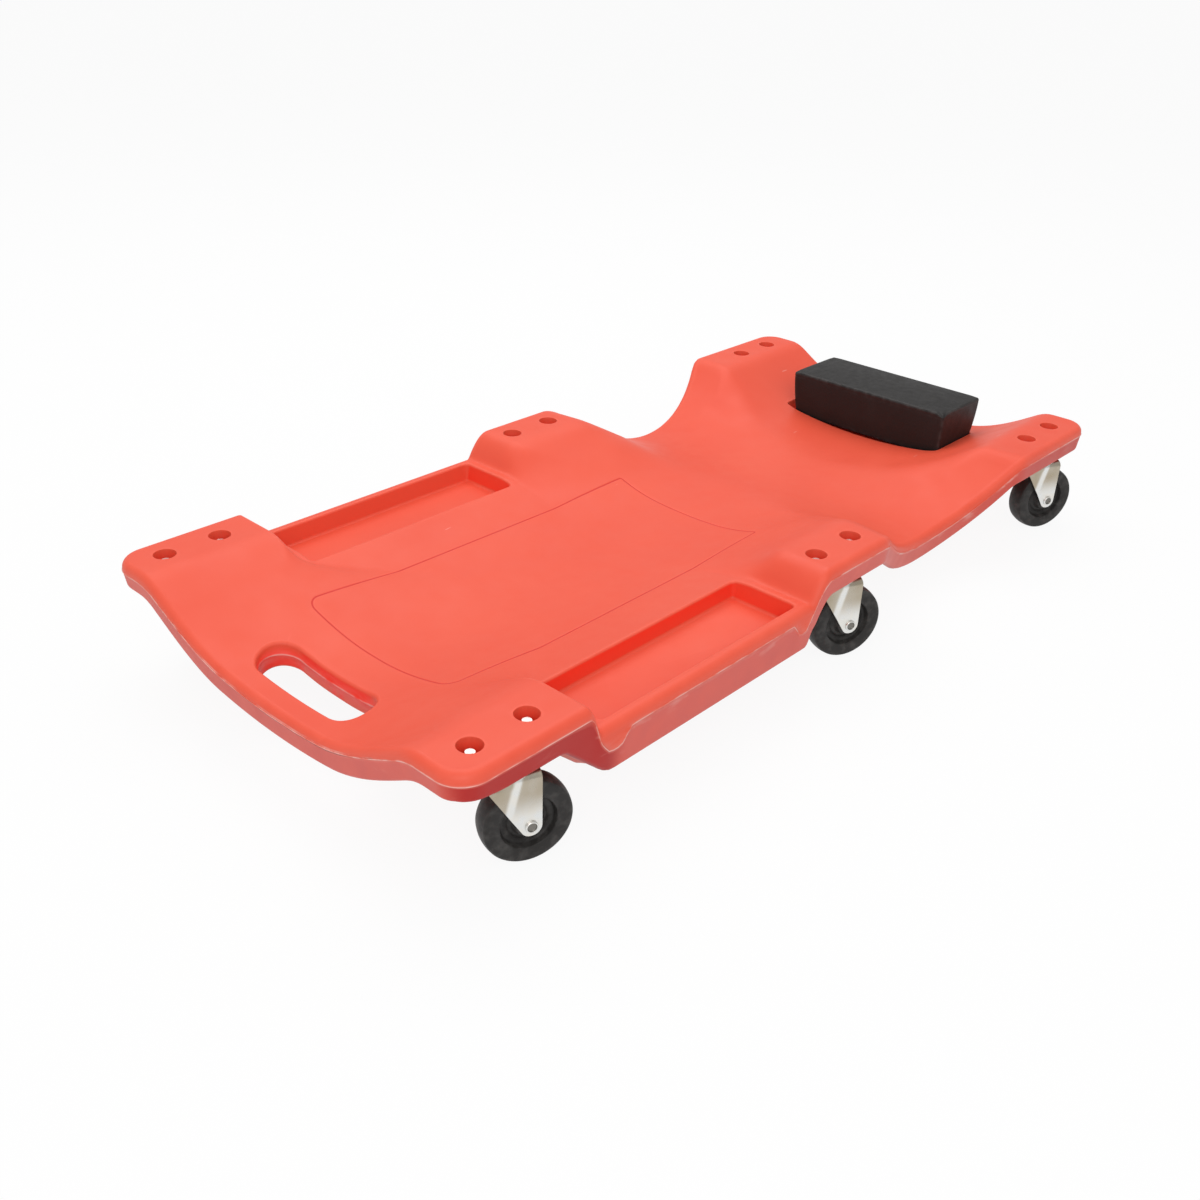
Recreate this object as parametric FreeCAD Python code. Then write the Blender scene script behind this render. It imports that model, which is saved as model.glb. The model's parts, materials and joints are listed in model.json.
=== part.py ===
import FreeCAD, Part
import os
from collections import namedtuple
from math import cos, hypot, pi, radians, sin, sqrt, tan

# Mechanic's creeper: a blow-moulded plastic deck on six swivel casters, with a padded headrest.
# Millimetres. +X runs from the foot end to the head end, +Y to the user's left, +Z up.
# The origin is on the floor, under the middle of the deck.

V = FreeCAD.Vector
UP = V(0, 0, 1)

# Deck plan
LENGTH = 1016.0
WIDTH = 483.0
CORNER_R = 34.0
SHOULDER_X = 195.0
SHOULDER_WAIST = 36.5
SHOULDER_PLAN_R = 291.0

# Deck section
PAD_TOP_Z = 122.0
LEDGE_Z = 94.6
DISH_Z = 75.0
DISH_R = 685.0
SKIN_TO_SKIN = 25.0
WALL = 3.0
RIM_R = 8.0
RIM_PROBE = 0.5

# Shoulder relief, a trough laid across the deck and tipped down towards the outside
SHOULDER_LOW_Z = 61.5
SHOULDER_FOOT_R = 145.0
SHOULDER_FOOT_SLOPE_DEG = 32.5
SHOULDER_HEAD_R = 191.0
SHOULDER_TILT_DEG = 5.0
SHOULDER_START_Y = -20.0

# Caster pads
PAD_WIDTH = 60.5
PAD_INNER_SLOPE_DEG = 28.0
PAD_END_SLOPE_DEG = 62.0
MID_PAD_RAMP_DEG = 70.0
SQUARE_DEG = 90.0
PAD_ROOT_Z = 30.0
OVERRUN = 60.0
FOOT_CASTER_INSET = 67.0
MID_CASTER_X = -1.0
HEAD_CASTER_INSET = 79.0
FOOT_PAD_LENGTH = 132.0
MID_PAD_START_X = -60.0
MID_PAD_END_X = 125.0
HEAD_PAD_LENGTH = 208.0
CASTER_EDGE = 31.5

# Tool trays
TRAY_FOOT_GAP = 27.0
TRAY_MID_GAP = 24.0
TRAY_WIDTH = 73.0
TRAY_RIM = 13.5
TRAY_FLOOR_Z = 74.5
TRAY_DRAFT_DEG = 84.0
TRAY_BOX_BOTTOM_Z = 53.0
TRAY_BOX_MARGIN = 14.0
TRAY_BOX_R = 9.0

# Carrying handle slot
SLOT_INSET = 44.0
SLOT_HALF_WIDTH = 24.0
SLOT_HALF_LENGTH = 76.0

# Headrest
POCKET_INSET = 44.0
POCKET_LENGTH = 88.0
POCKET_HALF_Y = 112.0
POCKET_FLOOR_Z = 72.0
POCKET_CORNER_R = 10.0
CUSHION_TOP_Z = 128.5
CUSHION_FOOT_OVERHANG = 1.0
CUSHION_HEAD_OVERHANG = 3.0
CUSHION_TOP_HALF_Y = 108.0
CUSHION_BELLY_Z = 104.0
CUSHION_BELLY = 1.5
CUSHION_CORNER_R = 7.0
CUSHION_CROWN_R = 600.0
CUSHION_EDGE_R = 2.5
CUSHION_EDGE_H = 4.0
SOFT_GAP = 0.3
BOARD_THICK = 9.0
BOARD_MARGIN = 9.0
BOARD_CORNER_R = 6.0
HEADREST_SCREW_Y = 70.0
HEADREST_SCREW_R = 2.5
HEADREST_SCREW_HEAD_R = 5.0
HEADREST_SCREW_HEAD_H = 3.0
HEADREST_SCREW_BITE = 6.0
HEADREST_SEAT_THICK = 6.0
HEADREST_WELL_R = 8.0

# Caster bolts
BOLT_SPACING = 57.7
BOLT_R = 4.0
BOLT_HOLE_CLEARANCE = 0.3
BOLT_HEAD_H = 5.3
HEX_ACROSS_FLATS = 13.0
NUT_H = 6.5
WASHER_R = 8.0
WASHER_H = 1.6
COUNTERBORE_R = 10.5
COUNTERBORE_DEPTH = 20.0
BOLT_END_DEPTH = 6.0
COLUMN_WALL = 3.5
FIT = 0.05

# Swivel casters
PLATE_THICK = 2.5
PLATE_LENGTH = 75.0
PLATE_WIDTH = 42.0
PLATE_CORNER_R = 10.0
RACE_OUTER_R = 20.0
RACE_INNER_R = 18.0
RACE_DEPTH = 4.9
BALL_R = 2.9
BALL_PITCH_R = 14.5
BALL_COUNT = 12
KINGPIN_R = 5.0
KINGPIN_COLLAR_R = 8.0
KINGPIN_COLLAR_H = 2.0
KINGPIN_HEAD_R = 9.0
KINGPIN_HEAD_H = 3.0
SWIVEL_GAP = 0.3
SWIVEL_OUT = 5.0
TRAIL = 16.5
FORK_THICK = 2.4
FORK_INSIDE = 25.0
FORK_LEAD_X = -18.0
FORK_REAR_X = 29.5
FORK_EYE_R = 8.0
FORK_BEND_R = 2.0
FORK_SHOULDER_H = 8.0
WHEEL_R = 38.5
WHEEL_WIDTH = 22.0
WHEEL_CROWN = 2.5
WHEEL_FACE_R = 34.0
WHEEL_WELL_OUTER_R = 24.0
WHEEL_WELL_INNER_R = 12.5
WHEEL_WELL_DEPTH = 7.0
HUB_R = 10.5
HUB_WIDTH = 24.0
BUSH_R = 6.0
AXLE_R = 4.0
AXLE_HEAD_R = 5.5
AXLE_HEAD_H = 2.0

FOOT_CASTER_X = FOOT_CASTER_INSET - LENGTH / 2
HEAD_CASTER_X = LENGTH / 2 - HEAD_CASTER_INSET
FOOT_PAD_END_X = FOOT_PAD_LENGTH - LENGTH / 2
HEAD_PAD_START_X = LENGTH / 2 - HEAD_PAD_LENGTH
TRAY_START_X = FOOT_PAD_END_X + TRAY_FOOT_GAP
TRAY_END_X = MID_PAD_START_X - TRAY_MID_GAP
SLOT_X = SLOT_INSET - LENGTH / 2
POCKET_END_X = LENGTH / 2 - POCKET_INSET
POCKET_START_X = POCKET_END_X - POCKET_LENGTH
CUSHION_TOP_START_X = POCKET_START_X - CUSHION_FOOT_OVERHANG
CUSHION_TOP_END_X = POCKET_END_X + CUSHION_HEAD_OVERHANG

PadSpec = namedtuple("PadSpec", "start start_slope end end_slope")
CasterSpec = namedtuple("CasterSpec", "name x side yaw")

PADS = (
    PadSpec(-LENGTH / 2 - OVERRUN, SQUARE_DEG, FOOT_PAD_END_X, PAD_END_SLOPE_DEG),
    PadSpec(MID_PAD_START_X, MID_PAD_RAMP_DEG, MID_PAD_END_X, PAD_END_SLOPE_DEG),
    PadSpec(HEAD_PAD_START_X, PAD_END_SLOPE_DEG, LENGTH / 2 + OVERRUN, SQUARE_DEG),
)

# The casters trail towards the head end and outwards, each stopped at its own angle.
CASTERS = (
    CasterSpec("foot_right", FOOT_CASTER_X, -1, -22.0),
    CasterSpec("mid_right", MID_CASTER_X, -1, -24.0),
    CasterSpec("head_right", HEAD_CASTER_X, -1, -25.0),
    CasterSpec("foot_left", FOOT_CASTER_X, 1, 22.0),
    CasterSpec("mid_left", MID_CASTER_X, 1, 24.0),
    CasterSpec("head_left", HEAD_CASTER_X, 1, 25.0),
)

SHOULDER_WAIST_Y = WIDTH / 2 - SHOULDER_WAIST
PAD_FOLD_Y = WIDTH / 2 - PAD_WIDTH
CASTER_Y = WIDTH / 2 - CASTER_EDGE
TRAY_OUTER_Y = WIDTH / 2 - TRAY_RIM
TRAY_INNER_Y = TRAY_OUTER_Y - TRAY_WIDTH
PAD_UNDER_Z = PAD_TOP_Z - SKIN_TO_SKIN
PLATE_UNDER_Z = PAD_UNDER_Z - PLATE_THICK
FORK_TOP_Z = PLATE_UNDER_Z - 2 * BALL_R - SWIVEL_GAP
FORK_UNDER_Z = FORK_TOP_Z - FORK_THICK
FORK_OUTSIDE = FORK_INSIDE + 2 * FORK_THICK


def block(x0, x1, y0, y1, z0, z1):
    """Axis-aligned block between two corners."""
    return Part.makeBox(x1 - x0, y1 - y0, z1 - z0, V(x0, y0, z0))


def rounded_slab(x0, x1, y0, y1, z0, z1, radius):
    """Block with its four upright edges rounded."""
    slab = block(x0, x1, y0, y1, z0, z1)
    upright = [e for e in slab.Edges if abs(e.tangentAt(e.FirstParameter).z) > 0.5]
    return slab.makeFillet(radius, upright)


def rect_wire(x0, x1, y0, y1, z):
    """Closed rectangle at one height."""
    corners = [V(x0, y0, z), V(x1, y0, z), V(x1, y1, z), V(x0, y1, z)]
    return Part.makePolygon(corners + corners[:1])


def rod(radius, x, y, z0, z1):
    """Upright cylinder."""
    return Part.makeCylinder(radius, z1 - z0, V(x, y, z0), UP)


def stadium(half_width, half_length, x, z0, z1):
    """Upright prism with round ends, long across the deck."""
    straight = half_length - half_width
    bar = block(x - half_width, x + half_width, -straight, straight, z0, z1)
    ends = [rod(half_width, x, side * straight, z0, z1) for side in (-1, 1)]
    return bar.fuse(ends).removeSplitter()


def hex_prism(across_flats, x, y, z0, z1):
    """Upright hexagonal prism."""
    corner_r = across_flats / 2 / cos(pi / 6)
    ring = [V(x + corner_r * cos(i * pi / 3), y + corner_r * sin(i * pi / 3), z0) for i in range(6)]
    return Part.Face(Part.makePolygon(ring + ring[:1])).extrude(V(0, 0, z1 - z0))


def ring(outer_r, inner_r, x, y, z0, z1):
    """Upright tube."""
    return rod(outer_r, x, y, z0, z1).cut(rod(inner_r, x, y, z0, z1))


# Deck shell

def outline_prism(inset):
    """The deck's plan, drawn in by an inset, as a tall prism."""
    half_x = LENGTH / 2 - inset
    half_y = WIDTH / 2 - inset
    prism = rounded_slab(-half_x, half_x, -half_y, half_y, 0, PAD_TOP_Z + OVERRUN, CORNER_R - inset)
    waist_y = SHOULDER_WAIST_Y + SHOULDER_PLAN_R
    waists = [
        rod(SHOULDER_PLAN_R + inset, SHOULDER_X, side * waist_y, -OVERRUN, PAD_TOP_Z + 2 * OVERRUN)
        for side in (-1, 1)
    ]
    return prism.cut(waists)


def pad_boss(pad, side, drop):
    """One caster pad: a flat top with sloped sides, offset inwards by a drop."""
    def reach(slope_deg, z):
        slope = radians(slope_deg)
        return (PAD_TOP_Z - z) / tan(slope) - drop / sin(slope)

    def level(z):
        x0 = pad.start - reach(pad.start_slope, z)
        x1 = pad.end + reach(pad.end_slope, z)
        y0 = side * (PAD_FOLD_Y - reach(PAD_INNER_SLOPE_DEG, z))
        y1 = side * (WIDTH / 2 + OVERRUN)
        return rect_wire(x0, x1, min(y0, y1), max(y0, y1), z)

    return Part.makeLoft([level(PAD_ROOT_Z), level(PAD_TOP_Z - drop)], True, True)


def shoulder_trough(side, drop):
    """The tipped trough that dips the deck's edge under one arm, lowered by a drop: a slope and two arcs."""
    low_z = SHOULDER_LOW_Z - drop
    high_z = low_z + SHOULDER_HEAD_R
    slope = radians(SHOULDER_FOOT_SLOPE_DEG)

    def foot_arc(angle):
        return V(SHOULDER_X - SHOULDER_FOOT_R * sin(angle), 0, low_z + SHOULDER_FOOT_R * (1 - cos(angle)))

    def head_arc(angle):
        return V(SHOULDER_X + SHOULDER_HEAD_R * sin(angle), 0, low_z + SHOULDER_HEAD_R * (1 - cos(angle)))

    slope_low, bottom, head_top = foot_arc(slope), foot_arc(0), head_arc(pi / 2)
    slope_top = V(slope_low.x - (high_z - slope_low.z) / tan(slope), 0, high_z)
    section = Part.Wire([
        Part.LineSegment(slope_top, slope_low).toShape(),
        Part.Arc(slope_low, foot_arc(slope / 2), bottom).toShape(),
        Part.Arc(bottom, head_arc(pi / 4), head_top).toShape(),
        Part.LineSegment(head_top, slope_top).toShape(),
    ])
    fall = tan(radians(SHOULDER_TILT_DEG))
    length = WIDTH / 2 + OVERRUN - SHOULDER_START_Y
    start = V(0, side * SHOULDER_START_Y, fall * (SHOULDER_WAIST_Y - SHOULDER_START_Y))
    return Part.Face(section).translated(start).extrude(V(0, side * length, -fall * length))


def below_deck(drop):
    """Everything under the deck's top skin, with the skin offset downwards by a drop."""
    half_x = LENGTH / 2 + OVERRUN
    half_y = WIDTH / 2 + OVERRUN
    ledge = block(-half_x, half_x, -half_y, half_y, 0, LEDGE_Z - drop)
    dish = Part.makeCylinder(DISH_R + drop, 2 * half_x, V(-half_x, 0, DISH_Z + DISH_R), V(1, 0, 0))
    bosses = [pad_boss(pad, side, drop) for pad in PADS for side in (-1, 1)]
    troughs = [shoulder_trough(side, drop) for side in (-1, 1)]
    return ledge.cut(dish).fuse(bosses).cut(troughs)


def tray_hollow(side, grow):
    """The open space of one tool tray, grown outwards by a wall."""
    draft = grow / sin(radians(TRAY_DRAFT_DEG))
    top_z = PAD_TOP_Z + OVERRUN

    def level(z):
        spread = (z - LEDGE_Z) / tan(radians(TRAY_DRAFT_DEG)) + draft
        y0 = side * (TRAY_INNER_Y - spread)
        y1 = side * (TRAY_OUTER_Y + spread)
        return rect_wire(TRAY_START_X - spread, TRAY_END_X + spread, min(y0, y1), max(y0, y1), z)

    return Part.makeLoft([level(TRAY_FLOOR_Z - grow), level(top_z)], True, True)


def tray_box(side, inset):
    """The box that hangs below the ledge around one tray, drawn in by an inset."""
    x0 = TRAY_START_X - TRAY_BOX_MARGIN + inset
    x1 = TRAY_END_X + TRAY_BOX_MARGIN - inset
    y0 = side * (TRAY_INNER_Y - TRAY_BOX_MARGIN + inset)
    y1 = side * (WIDTH / 2 + OVERRUN)
    z0 = TRAY_BOX_BOTTOM_Z + inset
    box = block(x0, x1, min(y0, y1), max(y0, y1), z0, LEDGE_Z - inset)
    low = [e for e in box.Edges if e.BoundBox.ZMax < z0 + 1 and abs(e.CenterOfMass.y) < WIDTH / 2]
    return box.makeFillet(TRAY_BOX_R - inset, low)


def skin_pair(outline_inset, upper, lower):
    """The space between two offsets of the deck skin, with the tray boxes, inside the plan."""
    between = below_deck(upper).cut(below_deck(lower))
    boxes = [tray_box(side, outline_inset) for side in (-1, 1)]
    return between.fuse(boxes).common(outline_prism(outline_inset))


def bolt_points():
    """Plan positions of the twelve caster bolts."""
    return [(c.x + end * BOLT_SPACING / 2, c.side * CASTER_Y) for c in CASTERS for end in (-1, 1)]


def headrest_screw_points():
    """Plan positions of the headrest screws."""
    middle_x = (POCKET_START_X + POCKET_END_X) / 2
    return [(middle_x, end * HEADREST_SCREW_Y) for end in (-1, 1)]


def pocket_hollow(grow):
    """The headrest's pocket, grown outwards by a wall."""
    return rounded_slab(
        POCKET_START_X - grow, POCKET_END_X + grow, -POCKET_HALF_Y - grow, POCKET_HALF_Y + grow,
        POCKET_FLOOR_Z - grow, PAD_TOP_Z + OVERRUN, POCKET_CORNER_R + grow,
    )


def moulded_in():
    """Solid places inside the hollow: slot and pocket walls, tray walls and tacked-down columns."""
    tall = PAD_TOP_Z + OVERRUN
    kept = [stadium(SLOT_HALF_WIDTH + WALL, SLOT_HALF_LENGTH + WALL, SLOT_X, 0, tall), pocket_hollow(WALL)]
    kept += [tray_hollow(side, WALL) for side in (-1, 1)]
    kept += [rod(COUNTERBORE_R + COLUMN_WALL, x, y, 0, tall) for x, y in bolt_points()]
    kept += [rod(HEADREST_WELL_R + WALL, x, y, 0, tall) for x, y in headrest_screw_points()]
    return kept


def deck_openings():
    """Everything cut through or into the finished shell from outside."""
    tall = PAD_TOP_Z + OVERRUN
    cuts = [stadium(SLOT_HALF_WIDTH, SLOT_HALF_LENGTH, SLOT_X, 0, tall), pocket_hollow(0)]
    cuts += [tray_hollow(side, 0) for side in (-1, 1)]
    for x, y in bolt_points():
        cuts.append(rod(BOLT_R + BOLT_HOLE_CLEARANCE, x, y, 0, tall))
        cuts.append(rod(COUNTERBORE_R, x, y, PAD_TOP_Z - COUNTERBORE_DEPTH, tall))
    for x, y in headrest_screw_points():
        cuts.append(rod(HEADREST_SCREW_R + BOLT_HOLE_CLEARANCE, x, y, 0, tall))
        cuts.append(rod(HEADREST_WELL_R, x, y, 0, POCKET_FLOOR_Z - HEADREST_SEAT_THICK))
    return cuts


def rim_edges(deck):
    """The upper edges of the deck's outer wall: at its plan line and on its top skin."""
    inner_plan = outline_prism(RIM_PROBE)
    lowered_skin = below_deck(RIM_PROBE)

    def on_rim(edge):
        middle = edge.valueAt((edge.FirstParameter + edge.LastParameter) / 2)
        return not (inner_plan.isInside(middle, FIT, True) or lowered_skin.isInside(middle, FIT, True))

    return [e for e in deck.Edges if on_rim(e)]


def deck_shell():
    """The hollow double-skinned deck with its upper rim rounded."""
    outer = skin_pair(0, 0, SKIN_TO_SKIN).removeSplitter()
    outer = outer.makeFillet(RIM_R, rim_edges(outer))
    hollow = skin_pair(WALL, WALL, SKIN_TO_SKIN - WALL).cut(moulded_in())
    return outer.cut(hollow).cut(deck_openings())


# Headrest

def cushion_wire(x0, x1, half_y, z, r=CUSHION_CORNER_R):
    """Rounded rectangle at one height of the cushion."""
    k = r * (1 - cos(pi / 4))
    points = [
        (V(x0 + r, -half_y, z), V(x1 - r, -half_y, z), V(x1 - k, -half_y + k, z), V(x1, -half_y + r, z)),
        (V(x1, -half_y + r, z), V(x1, half_y - r, z), V(x1 - k, half_y - k, z), V(x1 - r, half_y, z)),
        (V(x1 - r, half_y, z), V(x0 + r, half_y, z), V(x0 + k, half_y - k, z), V(x0, half_y - r, z)),
        (V(x0, half_y - r, z), V(x0, -half_y + r, z), V(x0 + k, -half_y + k, z), V(x0 + r, -half_y, z)),
    ]
    edges = []
    for begin, corner, middle, end in points:
        edges.append(Part.LineSegment(begin, corner).toShape())
        edges.append(Part.Arc(corner, middle, end).toShape())
    return Part.Wire(edges)


def pocket_brow_z():
    """Highest level of the deck's skin round the pocket, which it reaches at the pocket's ends."""
    dish_z = DISH_Z + DISH_R - sqrt(DISH_R ** 2 - POCKET_HALF_Y ** 2)
    slope_z = PAD_TOP_Z - (PAD_FOLD_Y - POCKET_HALF_Y) * tan(radians(PAD_INNER_SLOPE_DEG))
    return max(dish_z, slope_z)


def headrest_cushion():
    """Padded block with a crowned top: straight-sided in its pocket, and fuller above the deck."""
    low_z = POCKET_FLOOR_Z + SOFT_GAP
    neck_z = pocket_brow_z() + SOFT_GAP

    def pocket_fit(z):
        return cushion_wire(
            POCKET_START_X + SOFT_GAP, POCKET_END_X - SOFT_GAP, POCKET_HALF_Y - SOFT_GAP, z,
            POCKET_CORNER_R - SOFT_GAP,
        )

    rise = (CUSHION_BELLY_Z - neck_z) / (CUSHION_TOP_Z - neck_z)

    def part_way(at_bottom, at_top):
        return at_bottom + rise * (at_top - at_bottom)

    belly = cushion_wire(
        part_way(POCKET_START_X, CUSHION_TOP_START_X) - CUSHION_BELLY,
        part_way(POCKET_END_X, CUSHION_TOP_END_X) + CUSHION_BELLY,
        part_way(POCKET_HALF_Y, CUSHION_TOP_HALF_Y) + CUSHION_BELLY, CUSHION_BELLY_Z,
    )
    brow = cushion_wire(
        CUSHION_TOP_START_X, CUSHION_TOP_END_X, CUSHION_TOP_HALF_Y, CUSHION_TOP_Z - CUSHION_EDGE_H,
    )
    top = cushion_wire(
        CUSHION_TOP_START_X + CUSHION_EDGE_R, CUSHION_TOP_END_X - CUSHION_EDGE_R,
        CUSHION_TOP_HALF_Y - CUSHION_EDGE_R, CUSHION_TOP_Z,
    )
    plug = Part.Face(pocket_fit(low_z)).extrude(V(0, 0, neck_z - low_z))
    foam = plug.fuse(Part.makeLoft([pocket_fit(neck_z), belly, brow, top], True, False))
    middle_x = (CUSHION_TOP_START_X + CUSHION_TOP_END_X) / 2
    crown = Part.makeCylinder(
        CUSHION_CROWN_R, 4 * CUSHION_TOP_HALF_Y,
        V(middle_x, -2 * CUSHION_TOP_HALF_Y, CUSHION_TOP_Z - CUSHION_CROWN_R), V(0, 1, 0),
    )
    return foam.common(crown).cut(board_slab(SOFT_GAP))


def board_slab(grow):
    """The plywood board inside the cushion's underside, grown by a gap."""
    return rounded_slab(
        POCKET_START_X + BOARD_MARGIN - grow, POCKET_END_X - BOARD_MARGIN + grow,
        -POCKET_HALF_Y + BOARD_MARGIN - grow, POCKET_HALF_Y - BOARD_MARGIN + grow,
        POCKET_FLOOR_Z, POCKET_FLOOR_Z + BOARD_THICK + grow, BOARD_CORNER_R + grow,
    )


def headrest_board():
    """Plywood board with pilot holes for its screws."""
    pilots = [
        rod(HEADREST_SCREW_R + FIT, x, y, POCKET_FLOOR_Z, POCKET_FLOOR_Z + HEADREST_SCREW_BITE + FIT)
        for x, y in headrest_screw_points()
    ]
    return board_slab(0).cut(pilots)


def headrest_screws():
    """Pan-head screws driven up through the deck into the board."""
    screws = []
    seat_z = POCKET_FLOOR_Z - HEADREST_SEAT_THICK
    for x, y in headrest_screw_points():
        head = rod(HEADREST_SCREW_HEAD_R, x, y, seat_z - HEADREST_SCREW_HEAD_H, seat_z)
        shank = rod(HEADREST_SCREW_R, x, y, seat_z, POCKET_FLOOR_Z + HEADREST_SCREW_BITE)
        screws.append(head.fuse(shank))
    return Part.makeCompound(screws)


# Caster fasteners

def caster_bolts():
    """Hex bolts passed up through the caster plates."""
    bolts = []
    for x, y in bolt_points():
        head = hex_prism(HEX_ACROSS_FLATS, x, y, PLATE_UNDER_Z - BOLT_HEAD_H, PLATE_UNDER_Z)
        bolts.append(head.fuse(rod(BOLT_R, x, y, PLATE_UNDER_Z, PAD_TOP_Z - BOLT_END_DEPTH)))
    return Part.makeCompound(bolts)


def caster_washers():
    """Plain washers on the counterbore floors."""
    z0 = PAD_TOP_Z - COUNTERBORE_DEPTH
    return Part.makeCompound([ring(WASHER_R, BOLT_R + FIT, x, y, z0, z0 + WASHER_H) for x, y in bolt_points()])


def caster_nuts():
    """Hex nuts down in the counterbores."""
    z0 = PAD_TOP_Z - COUNTERBORE_DEPTH + WASHER_H
    nuts = []
    for x, y in bolt_points():
        nuts.append(hex_prism(HEX_ACROSS_FLATS, x, y, z0, z0 + NUT_H).cut(rod(BOLT_R + FIT, x, y, z0, z0 + NUT_H)))
    return Part.makeCompound(nuts)


# One caster, drawn with its swivel axis on Z and trailing towards +X

def caster_plate(side):
    """Top plate with its bolt holes inside the swivel's line, and the skirt of the ball race."""
    plate = rounded_slab(
        -PLATE_LENGTH / 2, PLATE_LENGTH / 2, -PLATE_WIDTH / 2, PLATE_WIDTH / 2,
        PLATE_UNDER_Z, PAD_UNDER_Z, PLATE_CORNER_R,
    )
    skirt = ring(RACE_OUTER_R, RACE_INNER_R, 0, 0, PLATE_UNDER_Z - RACE_DEPTH, PLATE_UNDER_Z)
    holes = [
        rod(BOLT_R + BOLT_HOLE_CLEARANCE, end * BOLT_SPACING / 2, -side * SWIVEL_OUT, PLATE_UNDER_Z, PAD_UNDER_Z)
        for end in (-1, 1)
    ]
    return plate.fuse(skirt).cut(holes + [rod(KINGPIN_R + FIT, 0, 0, PLATE_UNDER_Z, PAD_UNDER_Z)])


def caster_balls():
    """The ring of balls that carries the load in the swivel."""
    z = PLATE_UNDER_Z - BALL_R
    turn = 2 * pi / BALL_COUNT
    return Part.makeCompound([
        Part.makeSphere(BALL_R, V(BALL_PITCH_R * cos(i * turn), BALL_PITCH_R * sin(i * turn), z))
        for i in range(BALL_COUNT)
    ])


def caster_kingpin():
    """The rivet that holds the fork to the plate."""
    head_top = FORK_UNDER_Z - SWIVEL_GAP
    pin = rod(KINGPIN_R, 0, 0, head_top, PAD_UNDER_Z)
    collar = rod(KINGPIN_COLLAR_R, 0, 0, PLATE_UNDER_Z - KINGPIN_COLLAR_H, PLATE_UNDER_Z)
    head = rod(KINGPIN_HEAD_R, 0, 0, head_top - KINGPIN_HEAD_H, head_top)
    return pin.fuse([collar, head])


def tangent_point(px, pz, turn):
    """Where a line from a point touches the fork's eye, on the left (1) or right (-1) of the line."""
    dx = TRAIL - px
    dz = WHEEL_R - pz
    reach = hypot(dx, dz)
    along = (reach ** 2 - FORK_EYE_R ** 2) / reach ** 2
    across = turn * FORK_EYE_R * (reach ** 2 - FORK_EYE_R ** 2) ** 0.5 / reach ** 2
    return V(px + along * dx - across * dz, 0, pz + along * dz + across * dx)


def fork_leg(y0, y1):
    """One tapered leg of the fork, from its top corner to the eye around the axle."""
    low_z = FORK_UNDER_Z - FORK_SHOULDER_H
    lead_top = V(FORK_LEAD_X, 0, FORK_TOP_Z)
    lead_low = V(FORK_LEAD_X, 0, low_z)
    rear_top = V(FORK_REAR_X, 0, FORK_TOP_Z)
    rear_low = V(FORK_REAR_X, 0, low_z)
    lead_eye = tangent_point(lead_low.x, lead_low.z, -1)
    rear_eye = tangent_point(rear_low.x, rear_low.z, 1)
    eye_bottom = V(TRAIL, 0, WHEEL_R - FORK_EYE_R)
    edges = [Part.LineSegment(a, b).toShape() for a, b in (
        (rear_eye, rear_low), (rear_low, rear_top), (rear_top, lead_top), (lead_top, lead_low), (lead_low, lead_eye),
    )]
    edges.append(Part.Arc(lead_eye, eye_bottom, rear_eye).toShape())
    leg = Part.Face(Part.Wire(Part.__sortEdges__(edges))).extrude(V(0, y1 - y0, 0))
    return leg.translated(V(0, y0, 0))


def caster_fork():
    """Pressed steel fork: two legs under a top web."""
    legs = [
        fork_leg(-FORK_OUTSIDE / 2, -FORK_INSIDE / 2),
        fork_leg(FORK_INSIDE / 2, FORK_OUTSIDE / 2),
    ]
    web = block(FORK_LEAD_X, FORK_REAR_X, -FORK_OUTSIDE / 2, FORK_OUTSIDE / 2, FORK_UNDER_Z, FORK_TOP_Z)
    fork = web.fuse(legs).removeSplitter()
    bends = [
        e for e in fork.Edges
        if e.BoundBox.ZMin > FORK_TOP_Z - FIT and abs(abs(e.CenterOfMass.y) - FORK_OUTSIDE / 2) < FIT
    ]
    fork = fork.makeFillet(FORK_BEND_R, bends)
    swivel = rod(KINGPIN_R + FIT, 0, 0, FORK_UNDER_Z, FORK_TOP_Z)
    axle = Part.makeCylinder(AXLE_R + FIT, FORK_OUTSIDE, V(TRAIL, -FORK_OUTSIDE / 2, WHEEL_R), V(0, 1, 0))
    return fork.cut([swivel, axle])


def across_axle(radius, y0, y1):
    """Cylinder on the axle's line."""
    return Part.makeCylinder(radius, y1 - y0, V(TRAIL, y0, WHEEL_R), V(0, 1, 0))


def caster_axle():
    """Riveted axle with a peened head at each end."""
    out = FORK_OUTSIDE / 2
    heads = [
        across_axle(AXLE_HEAD_R, -out - AXLE_HEAD_H, -out),
        across_axle(AXLE_HEAD_R, out, out + AXLE_HEAD_H),
    ]
    return across_axle(AXLE_R, -out, out).fuse(heads)


def caster_bush():
    """Steel tube that spaces the fork legs and carries the wheel."""
    half = FORK_INSIDE / 2
    return across_axle(BUSH_R, -half, half).cut(across_axle(AXLE_R + FIT, -half, half))


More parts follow.
